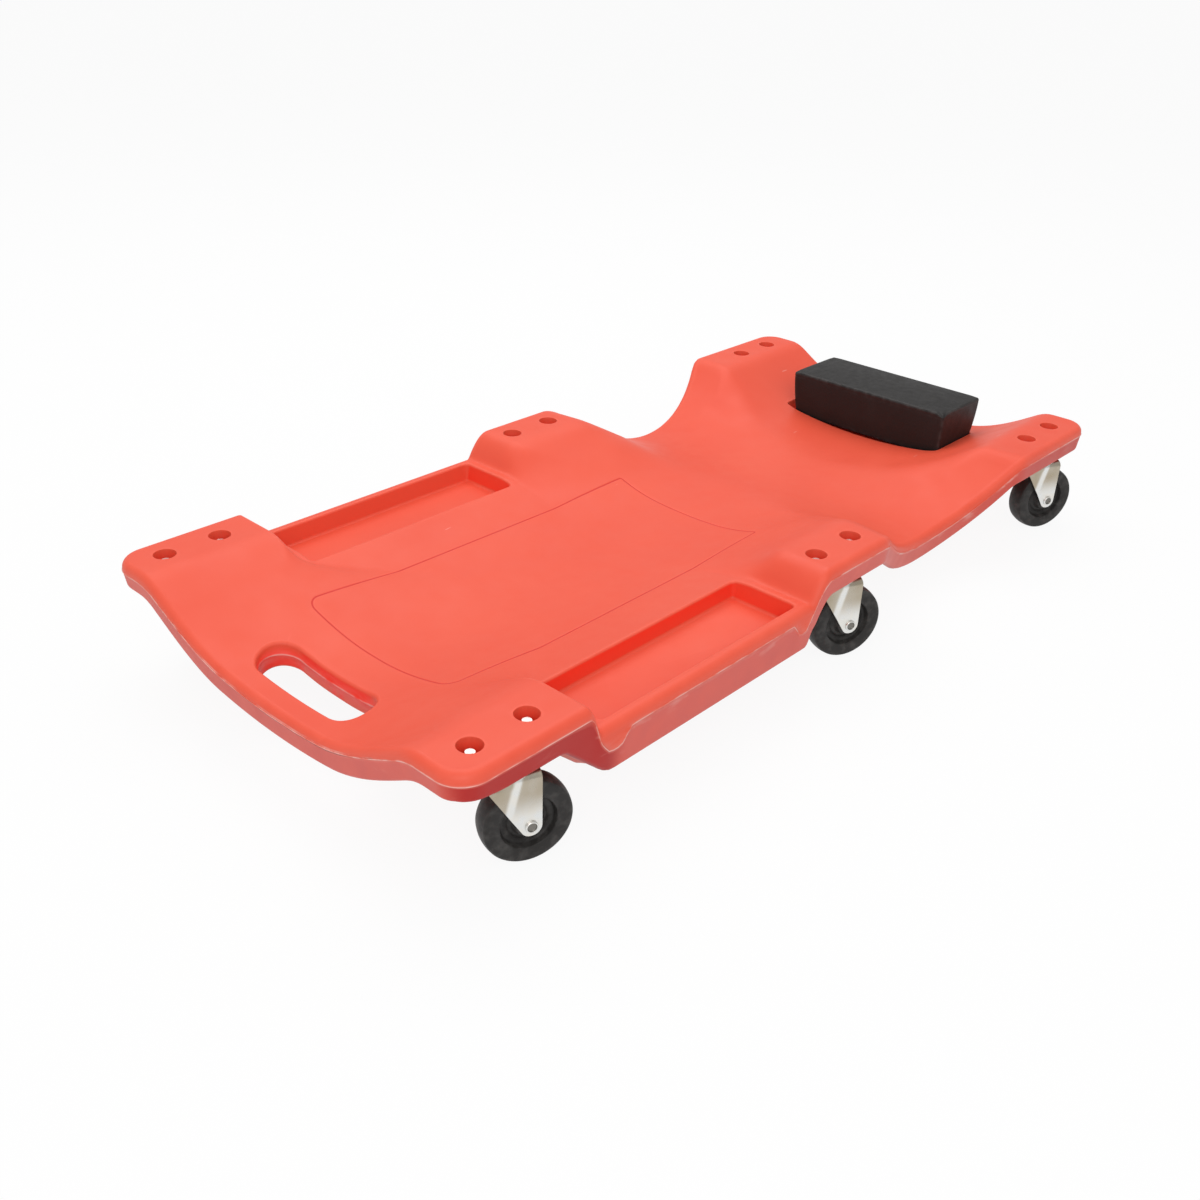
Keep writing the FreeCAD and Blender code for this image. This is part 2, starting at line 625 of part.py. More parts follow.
def caster_wheel():
    """Solid moulded wheel with a crowned tread, dished faces and a proud hub."""
    half = WHEEL_WIDTH / 2
    hub_half = HUB_WIDTH / 2
    floor = half - WHEEL_WELL_DEPTH
    shoulder = half - WHEEL_CROWN
    bore = BUSH_R + FIT
    right = [
        (shoulder, WHEEL_R - WHEEL_CROWN / 2), (half, WHEEL_FACE_R), (half, WHEEL_WELL_OUTER_R),
        (floor, WHEEL_WELL_OUTER_R - WHEEL_CROWN), (floor, WHEEL_WELL_INNER_R), (hub_half, HUB_R), (hub_half, bore),
    ]
    points = [V(TRAIL, y, WHEEL_R + r) for y, r in right]
    points += [V(TRAIL, -y, WHEEL_R + r) for y, r in reversed(right)]
    edges = [Part.LineSegment(a, b).toShape() for a, b in zip(points, points[1:])]
    edges.append(Part.Arc(points[-1], V(TRAIL, 0, 2 * WHEEL_R), points[0]).toShape())
    return Part.Face(Part.Wire(edges)).revolve(V(TRAIL, 0, WHEEL_R), V(0, 1, 0), 360)


def place_caster(shape, caster, turned):
    """A caster piece moved under its pad, with what swivels turned to its angle."""
    placed = shape.copy()
    if turned:
        placed.rotate(V(0, 0, 0), UP, caster.yaw)
    placed.translate(V(caster.x, caster.side * (CASTER_Y + SWIVEL_OUT), 0))
    return placed


def build():
    """Every node of the creeper by name."""
    nodes = {
        "deck_shell": deck_shell(),
        "headrest_cushion": headrest_cushion(),
        "headrest_board": headrest_board(),
        "headrest_screws": headrest_screws(),
        "caster_bolts": caster_bolts(),
        "caster_washers": caster_washers(),
        "caster_nuts": caster_nuts(),
    }
    pieces = (
        ("balls", caster_balls(), False), ("kingpin", caster_kingpin(), False), ("fork", caster_fork(), True),
        ("axle", caster_axle(), True), ("bush", caster_bush(), True), ("wheel", caster_wheel(), True),
    )
    for caster in CASTERS:
        nodes[f"{caster.name}_plate"] = place_caster(caster_plate(caster.side), caster, False)
        for piece, shape, turned in pieces:
            nodes[f"{caster.name}_{piece}"] = place_caster(shape, caster, turned)
    return nodes


os.makedirs("parts", exist_ok=True)
for name, shape in build().items():
    shape.exportStep(f"parts/{name}.step")
    print(name, len(shape.Solids), shape.isValid(), round(shape.Volume / 1000, 1), shape.BoundBox)
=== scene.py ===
"""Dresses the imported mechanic's creeper: moulded deck, padded headrest and six swivel casters."""
import json
import logging
import math
from dataclasses import dataclass, field
from enum import Enum

import bmesh
import bpy
import numpy as np
from mathutils import Matrix, Vector

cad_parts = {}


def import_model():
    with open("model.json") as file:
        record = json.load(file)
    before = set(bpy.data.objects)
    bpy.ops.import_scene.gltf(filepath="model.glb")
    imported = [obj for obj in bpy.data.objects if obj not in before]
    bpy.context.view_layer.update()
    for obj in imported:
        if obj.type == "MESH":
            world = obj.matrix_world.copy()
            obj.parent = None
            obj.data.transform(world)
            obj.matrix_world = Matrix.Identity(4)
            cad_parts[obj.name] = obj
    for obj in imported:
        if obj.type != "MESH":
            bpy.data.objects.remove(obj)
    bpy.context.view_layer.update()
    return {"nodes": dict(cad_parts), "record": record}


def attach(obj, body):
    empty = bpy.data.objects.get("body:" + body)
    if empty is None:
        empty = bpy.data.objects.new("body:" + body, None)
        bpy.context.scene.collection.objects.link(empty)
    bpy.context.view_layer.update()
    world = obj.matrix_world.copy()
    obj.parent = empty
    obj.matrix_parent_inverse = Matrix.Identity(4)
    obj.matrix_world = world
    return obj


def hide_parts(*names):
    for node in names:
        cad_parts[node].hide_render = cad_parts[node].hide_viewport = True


LOG = logging.getLogger("creeper")
Array = np.ndarray
Pair = tuple[np.ndarray, np.ndarray]
Material = bpy.types.Material
Piece = bpy.types.Object
Socket = bpy.types.NodeSocket
Range = tuple[float, float]
Triple = tuple[float, float, float]
Colour = tuple[float, float, float]
Box = tuple[float, float, float, float]
Band = tuple[float, float, float, float]
Span = tuple[int, int, int, int]

# One millimetre, in metres
MM = 0.001
# Grid lines closer than this, in millimetres, are one line
LINE_GAP = 0.1
# Where most of a noise pattern's values lie
SPREAD: Range = (0.3, 0.7)
# What keeps a point's plan position, and what keeps its height
LEVEL = np.array([1.0, 1.0, 0.0])
UP = np.array([0.0, 0.0, 1.0])


# Plain surface mathematics

def soft_min(a: Array, b: Array, reach: float) -> Array:
    """The lower of two heights, rounded where they come within a reach of each other.

    Args:
        a: First height.
        b: Second height.
        reach: Height difference at which the rounding starts.

    Returns:
        b + h (a - b) - reach h (1 - h), with h rising from 0 to 1 as a falls below b.
    """
    h = np.clip(0.5 + 0.5 * (b - a) / reach, 0.0, 1.0)
    return b + h * (a - b) - reach * h * (1.0 - h)


def soft_max(a: Array, b: Array, reach: float) -> Array:
    """The higher of two heights, rounded as soft_min is."""
    return -soft_min(-np.asarray(a), -np.asarray(b), reach)


def ease(x: Array, low: float, high: float) -> Array:
    """A smooth step from 0 at low to 1 at high: 3t^2 - 2t^3."""
    t = np.clip((x - low) / (high - low), 0.0, 1.0)
    return t * t * (3.0 - 2.0 * t)


def bell(distance: Array, width: float) -> Array:
    """A bell curve of a distance: e to the power of minus the square of distance over width."""
    return np.exp(-((distance / width) ** 2))


def quarter(count: int) -> Array:
    """Evenly spaced angles of a quarter turn, from 0 to half of pi."""
    return np.linspace(0.0, math.pi / 2, count)


def graded(stops: list[float], step: float, zones: list[Triple]) -> Array:
    """Grid lines through every stop, evenly stepped between them.

    Args:
        stops: Values that must lie on a line.
        step: Widest step.
        zones: (low, high, step) stretches with a narrower step.

    Returns:
        Sorted line positions.
    """
    wanted = sorted({round(s, 4) for s in stops} | {round(e, 4) for z in zones for e in z[:2]})
    marks = wanted[:1]
    for mark in wanted[1:-1]:
        if mark - marks[-1] > LINE_GAP and wanted[-1] - mark > LINE_GAP:
            marks.append(mark)
    marks.append(wanted[-1])
    runs = []
    for low, high in zip(marks, marks[1:]):
        middle = (low + high) / 2
        local = min([step] + [z[2] for z in zones if z[0] < middle < z[1]])
        runs.append(np.linspace(low, high, max(1, math.ceil((high - low) / local)) + 1)[:-1])
    return np.append(np.concatenate(runs), marks[-1])


def box_distance(x: Array, y: Array, half_x: float, half_y: float, r: Array | float) -> Array:
    """Signed distance from a rounded rectangle about the origin, negative inside.

    Args:
        x: Offsets along X.
        y: Offsets along Y.
        half_x: Half its length along X.
        half_y: Half its length along Y.
        r: Radius of its corners.

    Returns:
        The length of the offset past the corner circles' centres, less the radius.
    """
    qx = np.abs(x) - half_x + r
    qy = np.abs(y) - half_y + r
    return np.hypot(np.maximum(qx, 0.0), np.maximum(qy, 0.0)) + np.minimum(np.maximum(qx, qy), 0.0) - r


@dataclass
class Patchwork:
    """Patches of one surface in millimetres, welded into a mesh where their edges meet."""

    points: list[Array] = field(default_factory=list)
    faces: list[list[int]] = field(default_factory=list)
    total: int = 0
    weld: float = 0.02

    def grid(self, rows: Array, closed: bool = False, keep: Array | None = None) -> None:
        """Adds a grid of quads.

        Args:
            rows: Points as (rows, columns, 3).
            closed: Joins the last column to the first.
            keep: True for each cell that is built.
        """
        n, m = rows.shape[:2]
        index = self.total + np.arange(n * m).reshape(n, m)
        if closed:
            index = np.concatenate([index, index[:, :1]], axis=1)
        cells = np.stack([index[:-1, :-1], index[:-1, 1:], index[1:, 1:], index[1:, :-1]], axis=-1)
        cells = cells[keep] if keep is not None else cells.reshape(-1, 4)
        self.points.append(rows.reshape(-1, 3))
        self.faces.extend(cells.tolist())
        self.total += n * m

    def cap(self, loop: Array) -> None:
        """Closes a loop with one flat face.

        Args:
            loop: Points in order, as (count, 3).
        """
        self.points.append(loop)
        self.faces.append(list(range(self.total, self.total + len(loop))))
        self.total += len(loop)

    def mesh(self, name: str) -> Piece:
        """Welds the patches into one mesh, with its faces turned outwards.

        Args:
            name: The piece's name.

        Returns:
            An object at the origin, in metres.
        """
        mesh = bpy.data.meshes.new(name)
        mesh.from_pydata(np.concatenate(self.points) * MM, [], self.faces)
        work = bmesh.new()
        work.from_mesh(mesh)
        bmesh.ops.remove_doubles(work, verts=work.verts, dist=self.weld * MM)
        bmesh.ops.delete(work, geom=[v for v in work.verts if not v.link_faces], context="VERTS")
        bmesh.ops.recalc_face_normals(work, faces=work.faces)
        work.to_mesh(mesh)
        work.free()
        mesh.shade_smooth()
        piece = bpy.data.objects.new(name, mesh)
        bpy.context.scene.collection.objects.link(piece)
        return piece


def whole(grid: Array) -> Span:
    """The block of cells that covers a grid."""
    return (0, grid.shape[0] - 1, 0, grid.shape[1] - 1)


def around(grid: Array, block: Span) -> Array:
    """The points round a block of a grid, anticlockwise from its first corner."""
    i0, i1, j0, j1 = block
    return np.concatenate([grid[i0:i1, j0], grid[i1, j0:j1], grid[i1:i0:-1, j1], grid[i0, j1:j0:-1]])


def outside(shape: tuple[int, int], gaps: list[Span]) -> Array:
    """Marks the cells of a grid that lie in none of its gaps.

    Args:
        shape: How many lines the grid has each way.
        gaps: Blocks of cells that are left out.

    Returns:
        True for each cell that is kept.
    """
    keep = np.ones((shape[0] - 1, shape[1] - 1), bool)
    for i0, i1, j0, j1 in gaps:
        keep[i0:i1, j0:j1] = False
    return keep


def coordinates(piece: Piece) -> Array:
    """Reads a piece's vertices.

    Args:
        piece: A mesh object at the origin.

    Returns:
        Their positions in metres, as (count, 3).
    """
    flat = np.empty(len(piece.data.vertices) * 3)
    piece.data.vertices.foreach_get("co", flat)
    return flat.reshape(-1, 3)


def paint(piece: Piece, name: str, values: Array) -> None:
    """Stores one number per vertex as a named attribute."""
    layer = piece.data.attributes.new(name, "FLOAT", "POINT")
    layer.data.foreach_set("value", np.ascontiguousarray(values, dtype=np.float32))


def convexity(piece: Piece, reach: float) -> Array:
    """How sharply the surface bulges at each vertex.

    The bulge is the mean, over a vertex's edges, of the drop along its normal over half the squared length.

    Args:
        piece: A mesh object.
        reach: Radius, in metres, at which the bulge counts in full.

    Returns:
        0 where the surface is flat or hollow, up to 1 at that radius or less.
    """
    at = coordinates(piece)
    normals = np.empty(len(at) * 3)
    piece.data.vertices.foreach_get("normal", normals)
    normals = normals.reshape(-1, 3)
    ends = np.empty(len(piece.data.edges) * 2, dtype=np.int64)
    piece.data.edges.foreach_get("vertices", ends)
    a, b = ends.reshape(-1, 2).T
    step = at[b] - at[a]
    square = np.maximum((step * step).sum(axis=1), 1e-9)
    bend = np.zeros(len(at))
    count = np.zeros(len(at))
    for here, sign in ((a, -1.0), (b, 1.0)):
        np.add.at(bend, here, sign * 2.0 * (step * normals[here]).sum(axis=1) / square)
        np.add.at(count, here, 1.0)
    return np.clip(bend / np.maximum(count, 1.0) * reach, 0.0, 1.0)


# Finishes

class Noise(Enum):
    """Sizes of the noise patterns, in repeats per metre."""

    CLOUD = 9.0
    PATCH = 38.0
    SCUFF = 120.0
    HAIR = 150.0
    GRAIN = 900.0
    PEBBLE = 620.0


@dataclass
class Shader:
    """A material's node tree, with short ways to add the nodes that the finishes share."""

    name: str
    material: Material = field(init=False)

    def __post_init__(self) -> None:
        """Makes the material with its surface shader and object coordinates."""
        self.material = bpy.data.materials.new(self.name)
        self.material.use_nodes = True
        self.surface = self.material.node_tree.nodes["Principled BSDF"]
        self.place = self.add("ShaderNodeTexCoord").outputs["Object"]

    def add(self, kind: str, **settings: object) -> bpy.types.Node:
        """Adds a node.

        Args:
            kind: Its type.
            **settings: Properties to set on it.

        Returns:
            The node.
        """
        node = self.material.node_tree.nodes.new(kind)
        for key, value in settings.items():
            setattr(node, key, value)
        return node

    def link(self, start: Socket, end: Socket) -> None:
        """Joins two sockets."""
        self.material.node_tree.links.new(start, end)

    def feed(self, name: str, value: Socket) -> None:
        """Links a pattern to an input of the surface."""
        self.link(value, self.surface.inputs[name])

    def hold(self, name: str, value: float) -> None:
        """Sets an input of the surface to a constant."""
        self.surface.inputs[name].default_value = value

    def noise(self, size: Noise, detail: float = 4.0, scale: Triple = (1.0, 1.0, 1.0)) -> Socket:
        """A noise pattern in object space.

        Args:
            size: Its repeats per metre.
            detail: Octaves.
            scale: Repeats along each axis, as a share of its size.

        Returns:
            The factor socket, about 0.5 on average.
        """
        mapping = self.add("ShaderNodeMapping")
        mapping.inputs["Scale"].default_value = scale
        self.link(self.place, mapping.inputs["Vector"])
        node = self.add("ShaderNodeTexNoise")
        node.inputs["Scale"].default_value = size.value
        node.inputs["Detail"].default_value = detail
        self.link(mapping.outputs["Vector"], node.inputs["Vector"])
        return node.outputs["Fac"]

    def ramp(self, value: Socket, low: float, high: float, start: float = 0.0, end: float = 1.0) -> Socket:
        """Maps a number from one range to another, held at the ends.

        Args:
            value: The number.
            low: Where the first range starts.
            high: Where it ends.
            start: What low becomes.
            end: What high becomes.

        Returns:
            The mapped number.
        """
        node = self.add("ShaderNodeMapRange")
        for key, number in (("From Min", low), ("From Max", high), ("To Min", start), ("To Max", end)):
            node.inputs[key].default_value = number
        self.link(value, node.inputs["Value"])
        return node.outputs["Result"]

    def times(self, a: Socket, b: Socket) -> Socket:
        """Multiplies two numbers.

        Args:
            a: First number.
            b: Second number.

        Returns:
            Their product.
        """
        node = self.add("ShaderNodeMath", operation="MULTIPLY")
        self.link(a, node.inputs[0])
        self.link(b, node.inputs[1])
        return node.outputs[0]

    def attribute(self, name: str) -> Socket:
        """A number stored on the piece's vertices."""
        return self.add("ShaderNodeAttribute", attribute_name=name).outputs["Fac"]

    def mix(self, factor: Socket, a: Socket | Colour, b: Colour) -> Socket:
        """Mixes two colours, which are inputs 6 and 7 and output 2 of a mix node, counted from 0.

        Args:
            factor: Share of the second colour.
            a: First colour, a socket or three numbers.
            b: Second colour.

        Returns:
            The mixed colour.
        """
        node = self.add("ShaderNodeMix", data_type="RGBA")
        self.link(factor, node.inputs["Factor"])
        if isinstance(a, Socket):
            self.link(a, node.inputs[6])
        else:
            node.inputs[6].default_value = (*a, 1.0)
        node.inputs[7].default_value = (*b, 1.0)
        return node.outputs[2]

    def bump(self, height: Socket, depth: float, strength: float, below: Socket | None = None) -> Socket:
        """A bump pattern, over another one if that is given.

        Args:
            height: The pattern.
            depth: Its depth in metres.
            strength: How much of it shows.
            below: Normals of the other pattern.

        Returns:
            The bumped normals.
        """
        node = self.add("ShaderNodeBump")
        node.inputs["Distance"].default_value = depth
        node.inputs["Strength"].default_value = strength
        self.link(height, node.inputs["Height"])
        if below is not None:
            self.link(below, node.inputs["Normal"])
        return node.outputs["Normal"]


@dataclass(frozen=True)
class DeckPlastic:
    """Satin red polyethylene with moulded grain, whitened flash, rubbed rims lightened by a painted
    highlight, painted shade in the groove and on the pads' lower walls, painted red bounce light in hollows,
    and a few hairline scratches.

    A pattern's band is where it starts and ends in its noise, and its share there if that isn't 0 and 1.
    Grain and waves have a depth in metres and a strength.
    """

    body: Colour = (0.775, 0.086, 0.043)
    pale: Colour = (0.795, 0.096, 0.049)
    flash: Colour = (0.88, 0.56, 0.50)
    dull: Colour = (0.645, 0.112, 0.090)
    # Rubbed rims: edge wear lightened further as a painted highlight
    rubbed_and_highlit: Colour = (0.85, 0.122, 0.071)
    # Painted shade in the engraved groove
    groove_shade: Colour = (0.60, 0.008, 0.003)
    # Painted shade on the pads' lower walls
    pad_wall_shade: Colour = (0.41, 0.003, 0.001)
    # Painted red bounce light on the walls of hollows
    sunk_red_bounce: Colour = (0.93, 0.034, 0.014)
    roughness: Range = (0.41, 0.52)
    gloss: float = 0.30
    clouds: Range = (0.35, 0.65)
    wear: Band = (0.35, 0.65, 0.15, 0.6)
    groove: Band = (0.0, 0.8, 0.0, 0.95)
    mottle: Band = (0.3, 0.7, 0.65, 1.0)
    streaks: Band = (0.36, 0.58, 0.15, 1.0)
    streak_scale: Triple = (0.4, 0.4, 1.6)
    smears: Band = (0.58, 0.72, 0.0, 0.32)
    smear_scale: Triple = (0.7, 0.7, 2.2)
    scratches: Band = (0.765, 0.785, 0.0, 0.3)
    scratch_scale: Triple = (0.12, 1.0, 1.0)
    grain: Range = (0.0004, 0.10)
    waves: Range = (0.0012, 0.05)

    def make(self) -> Material:
        """Lays each mark over the clouded body in turn, from wear with a painted highlight, painted shade and
        painted bounce light to smears and scratches.

        Returns:
            The finished material.
        """
        s = Shader("deck_plastic")
        colour = s.mix(s.ramp(s.noise(Noise.CLOUD), *self.clouds), self.body, self.pale)
        # Convex edges: wear with a painted highlight, broken up by noise
        worn_and_highlit = s.times(s.attribute("rubbed_and_highlit"), s.ramp(s.noise(Noise.PATCH), *self.wear))
        colour = s.mix(worn_and_highlit, colour, self.rubbed_and_highlit)
        # Painted shade in the engraved panel line
        colour = s.mix(s.ramp(s.attribute("groove"), *self.groove), colour, self.groove_shade)
        # Painted shade on the lower walls under the pads
        colour = s.mix(s.attribute("pad_wall_shade"), colour, self.pad_wall_shade)
        # Painted red bounce light inside the hollows, sparing the trays' floors
        colour = s.mix(s.attribute("sunk_red_bounce"), colour, self.sunk_red_bounce)
        mottle = s.ramp(s.noise(Noise.PATCH, detail=5.0), *self.mottle)
        colour = s.mix(s.times(s.attribute("lower"), mottle), colour, self.dull)
        streaks = s.ramp(s.noise(Noise.SCUFF, detail=6.0, scale=self.streak_scale), *self.streaks)
        colour = s.mix(s.times(s.attribute("flash"), streaks), colour, self.flash)
        smears = s.ramp(s.noise(Noise.PATCH, detail=8.0, scale=self.smear_scale), *self.smears)
        colour = s.mix(s.times(s.attribute("scuffed"), smears), colour, self.flash)
        scratches = s.ramp(s.noise(Noise.HAIR, detail=2.0, scale=self.scratch_scale), *self.scratches)
        s.feed("Base Color", s.mix(scratches, colour, self.flash))
        s.feed("Roughness", s.ramp(s.noise(Noise.PATCH), *SPREAD, *self.roughness))
        s.hold("Specular IOR Level", self.gloss)
        grain = s.bump(s.noise(Noise.GRAIN, detail=2.0), *self.grain)
        s.feed("Normal", s.bump(s.noise(Noise.PATCH, detail=2.0), *self.waves, below=grain))
        return s.material


@dataclass(frozen=True)
class Vinyl:
    """Black upholstery vinyl with a fine pebble grain."""

    body: Colour = (0.0140, 0.0124, 0.0117)
    cloud: Colour = (0.0168, 0.0150, 0.0143)
    # Rubbed edges: wear lightened further as a painted highlight
    worn_and_highlit: Colour = (0.060, 0.0570, 0.0550)
    roughness: Range = (0.44, 0.58)
    gloss: float = 0.25
    clouds: Range = (0.35, 0.7)
    wear: Band = (0.4, 0.7, 0.1, 0.9)
    pebbles: Range = (0.0006, 0.22)
    creases: Range = (0.0010, 0.12)

    def make(self) -> Material:
        """Lays rubbed edges, lightened also as a painted highlight, over the clouded body, with creases over
        the pebbles.

        Returns:
            The finished material.
        """
        s = Shader("headrest_vinyl")
        colour = s.mix(s.ramp(s.noise(Noise.PATCH), *self.clouds), self.body, self.cloud)
        # Convex edges: wear with a painted highlight, broken up by noise
        rubbed_and_highlit = s.times(s.attribute("worn_and_highlit"), s.ramp(s.noise(Noise.SCUFF, detail=5.0), *self.wear))
        s.feed("Base Color", s.mix(rubbed_and_highlit, colour, self.worn_and_highlit))
        s.feed("Roughness", s.ramp(s.noise(Noise.SCUFF), *SPREAD, *self.roughness))
        s.hold("Specular IOR Level", self.gloss)
        cells = s.add("ShaderNodeTexVoronoi", feature="SMOOTH_F1")
        cells.inputs["Scale"].default_value = Noise.PEBBLE.value
        s.link(s.place, cells.inputs["Vector"])
        pebbles = s.bump(cells.outputs["Distance"], *self.pebbles)
        s.feed("Normal", s.bump(s.noise(Noise.SCUFF, detail=3.0), *self.creases, below=pebbles))
        return s.material


@dataclass(frozen=True)
class WheelPlastic:
    """Satin black hard plastic, a little dusty on its face."""

    body: Colour = (0.0200, 0.0182, 0.0172)
    dusty: Colour = (0.058, 0.0540, 0.0510)
    roughness: Range = (0.40, 0.56)
    gloss: float = 0.25
    dust: Range = (0.45, 0.75)
    grain: Range = (0.0004, 0.12)

    def make(self) -> Material:
        """Lays patches of dust over the body.

        Returns:
            The finished material.
        """
        s = Shader("wheel_plastic")
        dust = s.ramp(s.noise(Noise.SCUFF, detail=5.0), *self.dust)
        s.feed("Base Color", s.mix(dust, self.body, self.dusty))
        s.feed("Roughness", s.ramp(s.noise(Noise.PATCH), *SPREAD, *self.roughness))
        s.hold("Specular IOR Level", self.gloss)
        s.feed("Normal", s.bump(s.noise(Noise.GRAIN, detail=2.0), *self.grain))
        return s.material


@dataclass(frozen=True)
class ZincSteel:
    """Zinc-plated pressed steel with a faint spangle, darkened by a warm stain and painted shade where it is
    marked as toned, and by painted shade where it is marked as hollow.
    """

    name: str = "zinc_steel"
    body: Colour = (0.74, 0.75, 0.74)
    warm: Colour = (0.78, 0.76, 0.71)
    # Warm stain and painted shade on the upper legs and wings
    stain_and_shade: Colour = (0.40, 0.34, 0.25)
    # Painted shade in the rivets' hollows
    hollow: Colour = (0.20, 0.19, 0.17)
    roughness: Range = (0.22, 0.40)
    spangle: Range = (0.35, 0.65)
    staining_and_shade: Band = (0.3, 0.7, 0.75, 1.0)
    grain: Range = (0.0004, 0.10)

    def make(self) -> Material:
        """Lays the stains with their painted shade, and the painted shade of the hollows, over the spangled
        metal.

        Returns:
            The finished material.
        """
        s = Shader(self.name)
        s.hold("Metallic", 1.0)
        colour = s.mix(s.ramp(s.noise(Noise.SCUFF), *self.spangle), self.body, self.warm)
        # Upper legs and pressed wings: warm stain with painted shade, broken up by noise
        stained_and_shaded = s.times(s.attribute("toned_and_shaded"), s.ramp(s.noise(Noise.PATCH, detail=5.0), *self.staining_and_shade))
        colour = s.mix(stained_and_shaded, colour, self.stain_and_shade)
        # Painted shade in the rivets' hollows
        s.feed("Base Color", s.mix(s.attribute("hollow"), colour, self.hollow))
        s.feed("Roughness", s.ramp(s.noise(Noise.SCUFF, detail=6.0), *SPREAD, *self.roughness))
        s.feed("Normal", s.bump(s.noise(Noise.SCUFF), *self.grain))
        return s.material


@dataclass(frozen=True)
class Plywood:
    """Raw plywood with long grain."""

    pale: Colour = (0.46, 0.31, 0.17)
    dark: Colour = (0.30, 0.18, 0.09)
    roughness: float = 0.75
    figure: Range = (0.35, 0.65)
    figure_scale: Triple = (6.0, 0.3, 6.0)
    grain: Range = (0.0004, 0.2)

    def make(self) -> Material:
        """Draws the figure in two tones and raises it a little.

        Returns:
            The finished material.
        """
        s = Shader("plywood")
        figure = s.noise(Noise.SCUFF, detail=6.0, scale=self.figure_scale)
        s.feed("Base Color", s.mix(s.ramp(figure, *self.figure), self.pale, self.dark))
        s.feed("Normal", s.bump(figure, *self.grain))
        s.hold("Roughness", self.roughness)
        return s.material


# Deck

@dataclass(frozen=True)
class PadRun:
    """One pair of caster pads: where its flat top lies along X, its ramps, and its slope down to the dish.

    The last field is how far the underside's end is drawn in, as a share of the drop.
    """

    start: float
    start_ramp: float
    end: float
    end_ramp: float
    fold_y: float
    slope: float
    blend: float
    flare_y: float
    flare: float
    flare_back: float
    draw: float


@dataclass(frozen=True)
class DeckMarks:
    """Where the deck's plastic is marked, in millimetres: line widths, and runs over which a mark sets in."""

    flash_width: float = 0.45
    flash_inset: float = 5.5
    slot_flash_width: float = 0.7
    slot_flash_reach: Range = (-3.0, 0.5)
    slot_wall_reach: float = 2.0
    slot_wall_share: float = 0.2
    wall_run: Range = (-0.5, 2.0)
    # Where painted shade darkens the lower wall, and how much of the haze it hides
    deep_y: Range = (205.0, 236.0)
    deep_foot_x: Range = (-352.0, -322.0)
    deep_head_x: Range = (180.0, 400.0)
    deep_head_share: float = 0.7
    deep_hides: float = 0.9
    # Where painted red bounce light fills the hollows
    sunk_run: Range = (1.0, 4.0)
    sunk_floor_run: Range = (2.0, 4.0)
    sunk_under_gap: float = 3.0
    scuff_drop: float = 4.0
    scuff_width: float = 5.0
    groove_reach: float = 2.0
    # Reach of the edge wear with its painted highlight
    rub_and_highlight_reach: float = 0.012


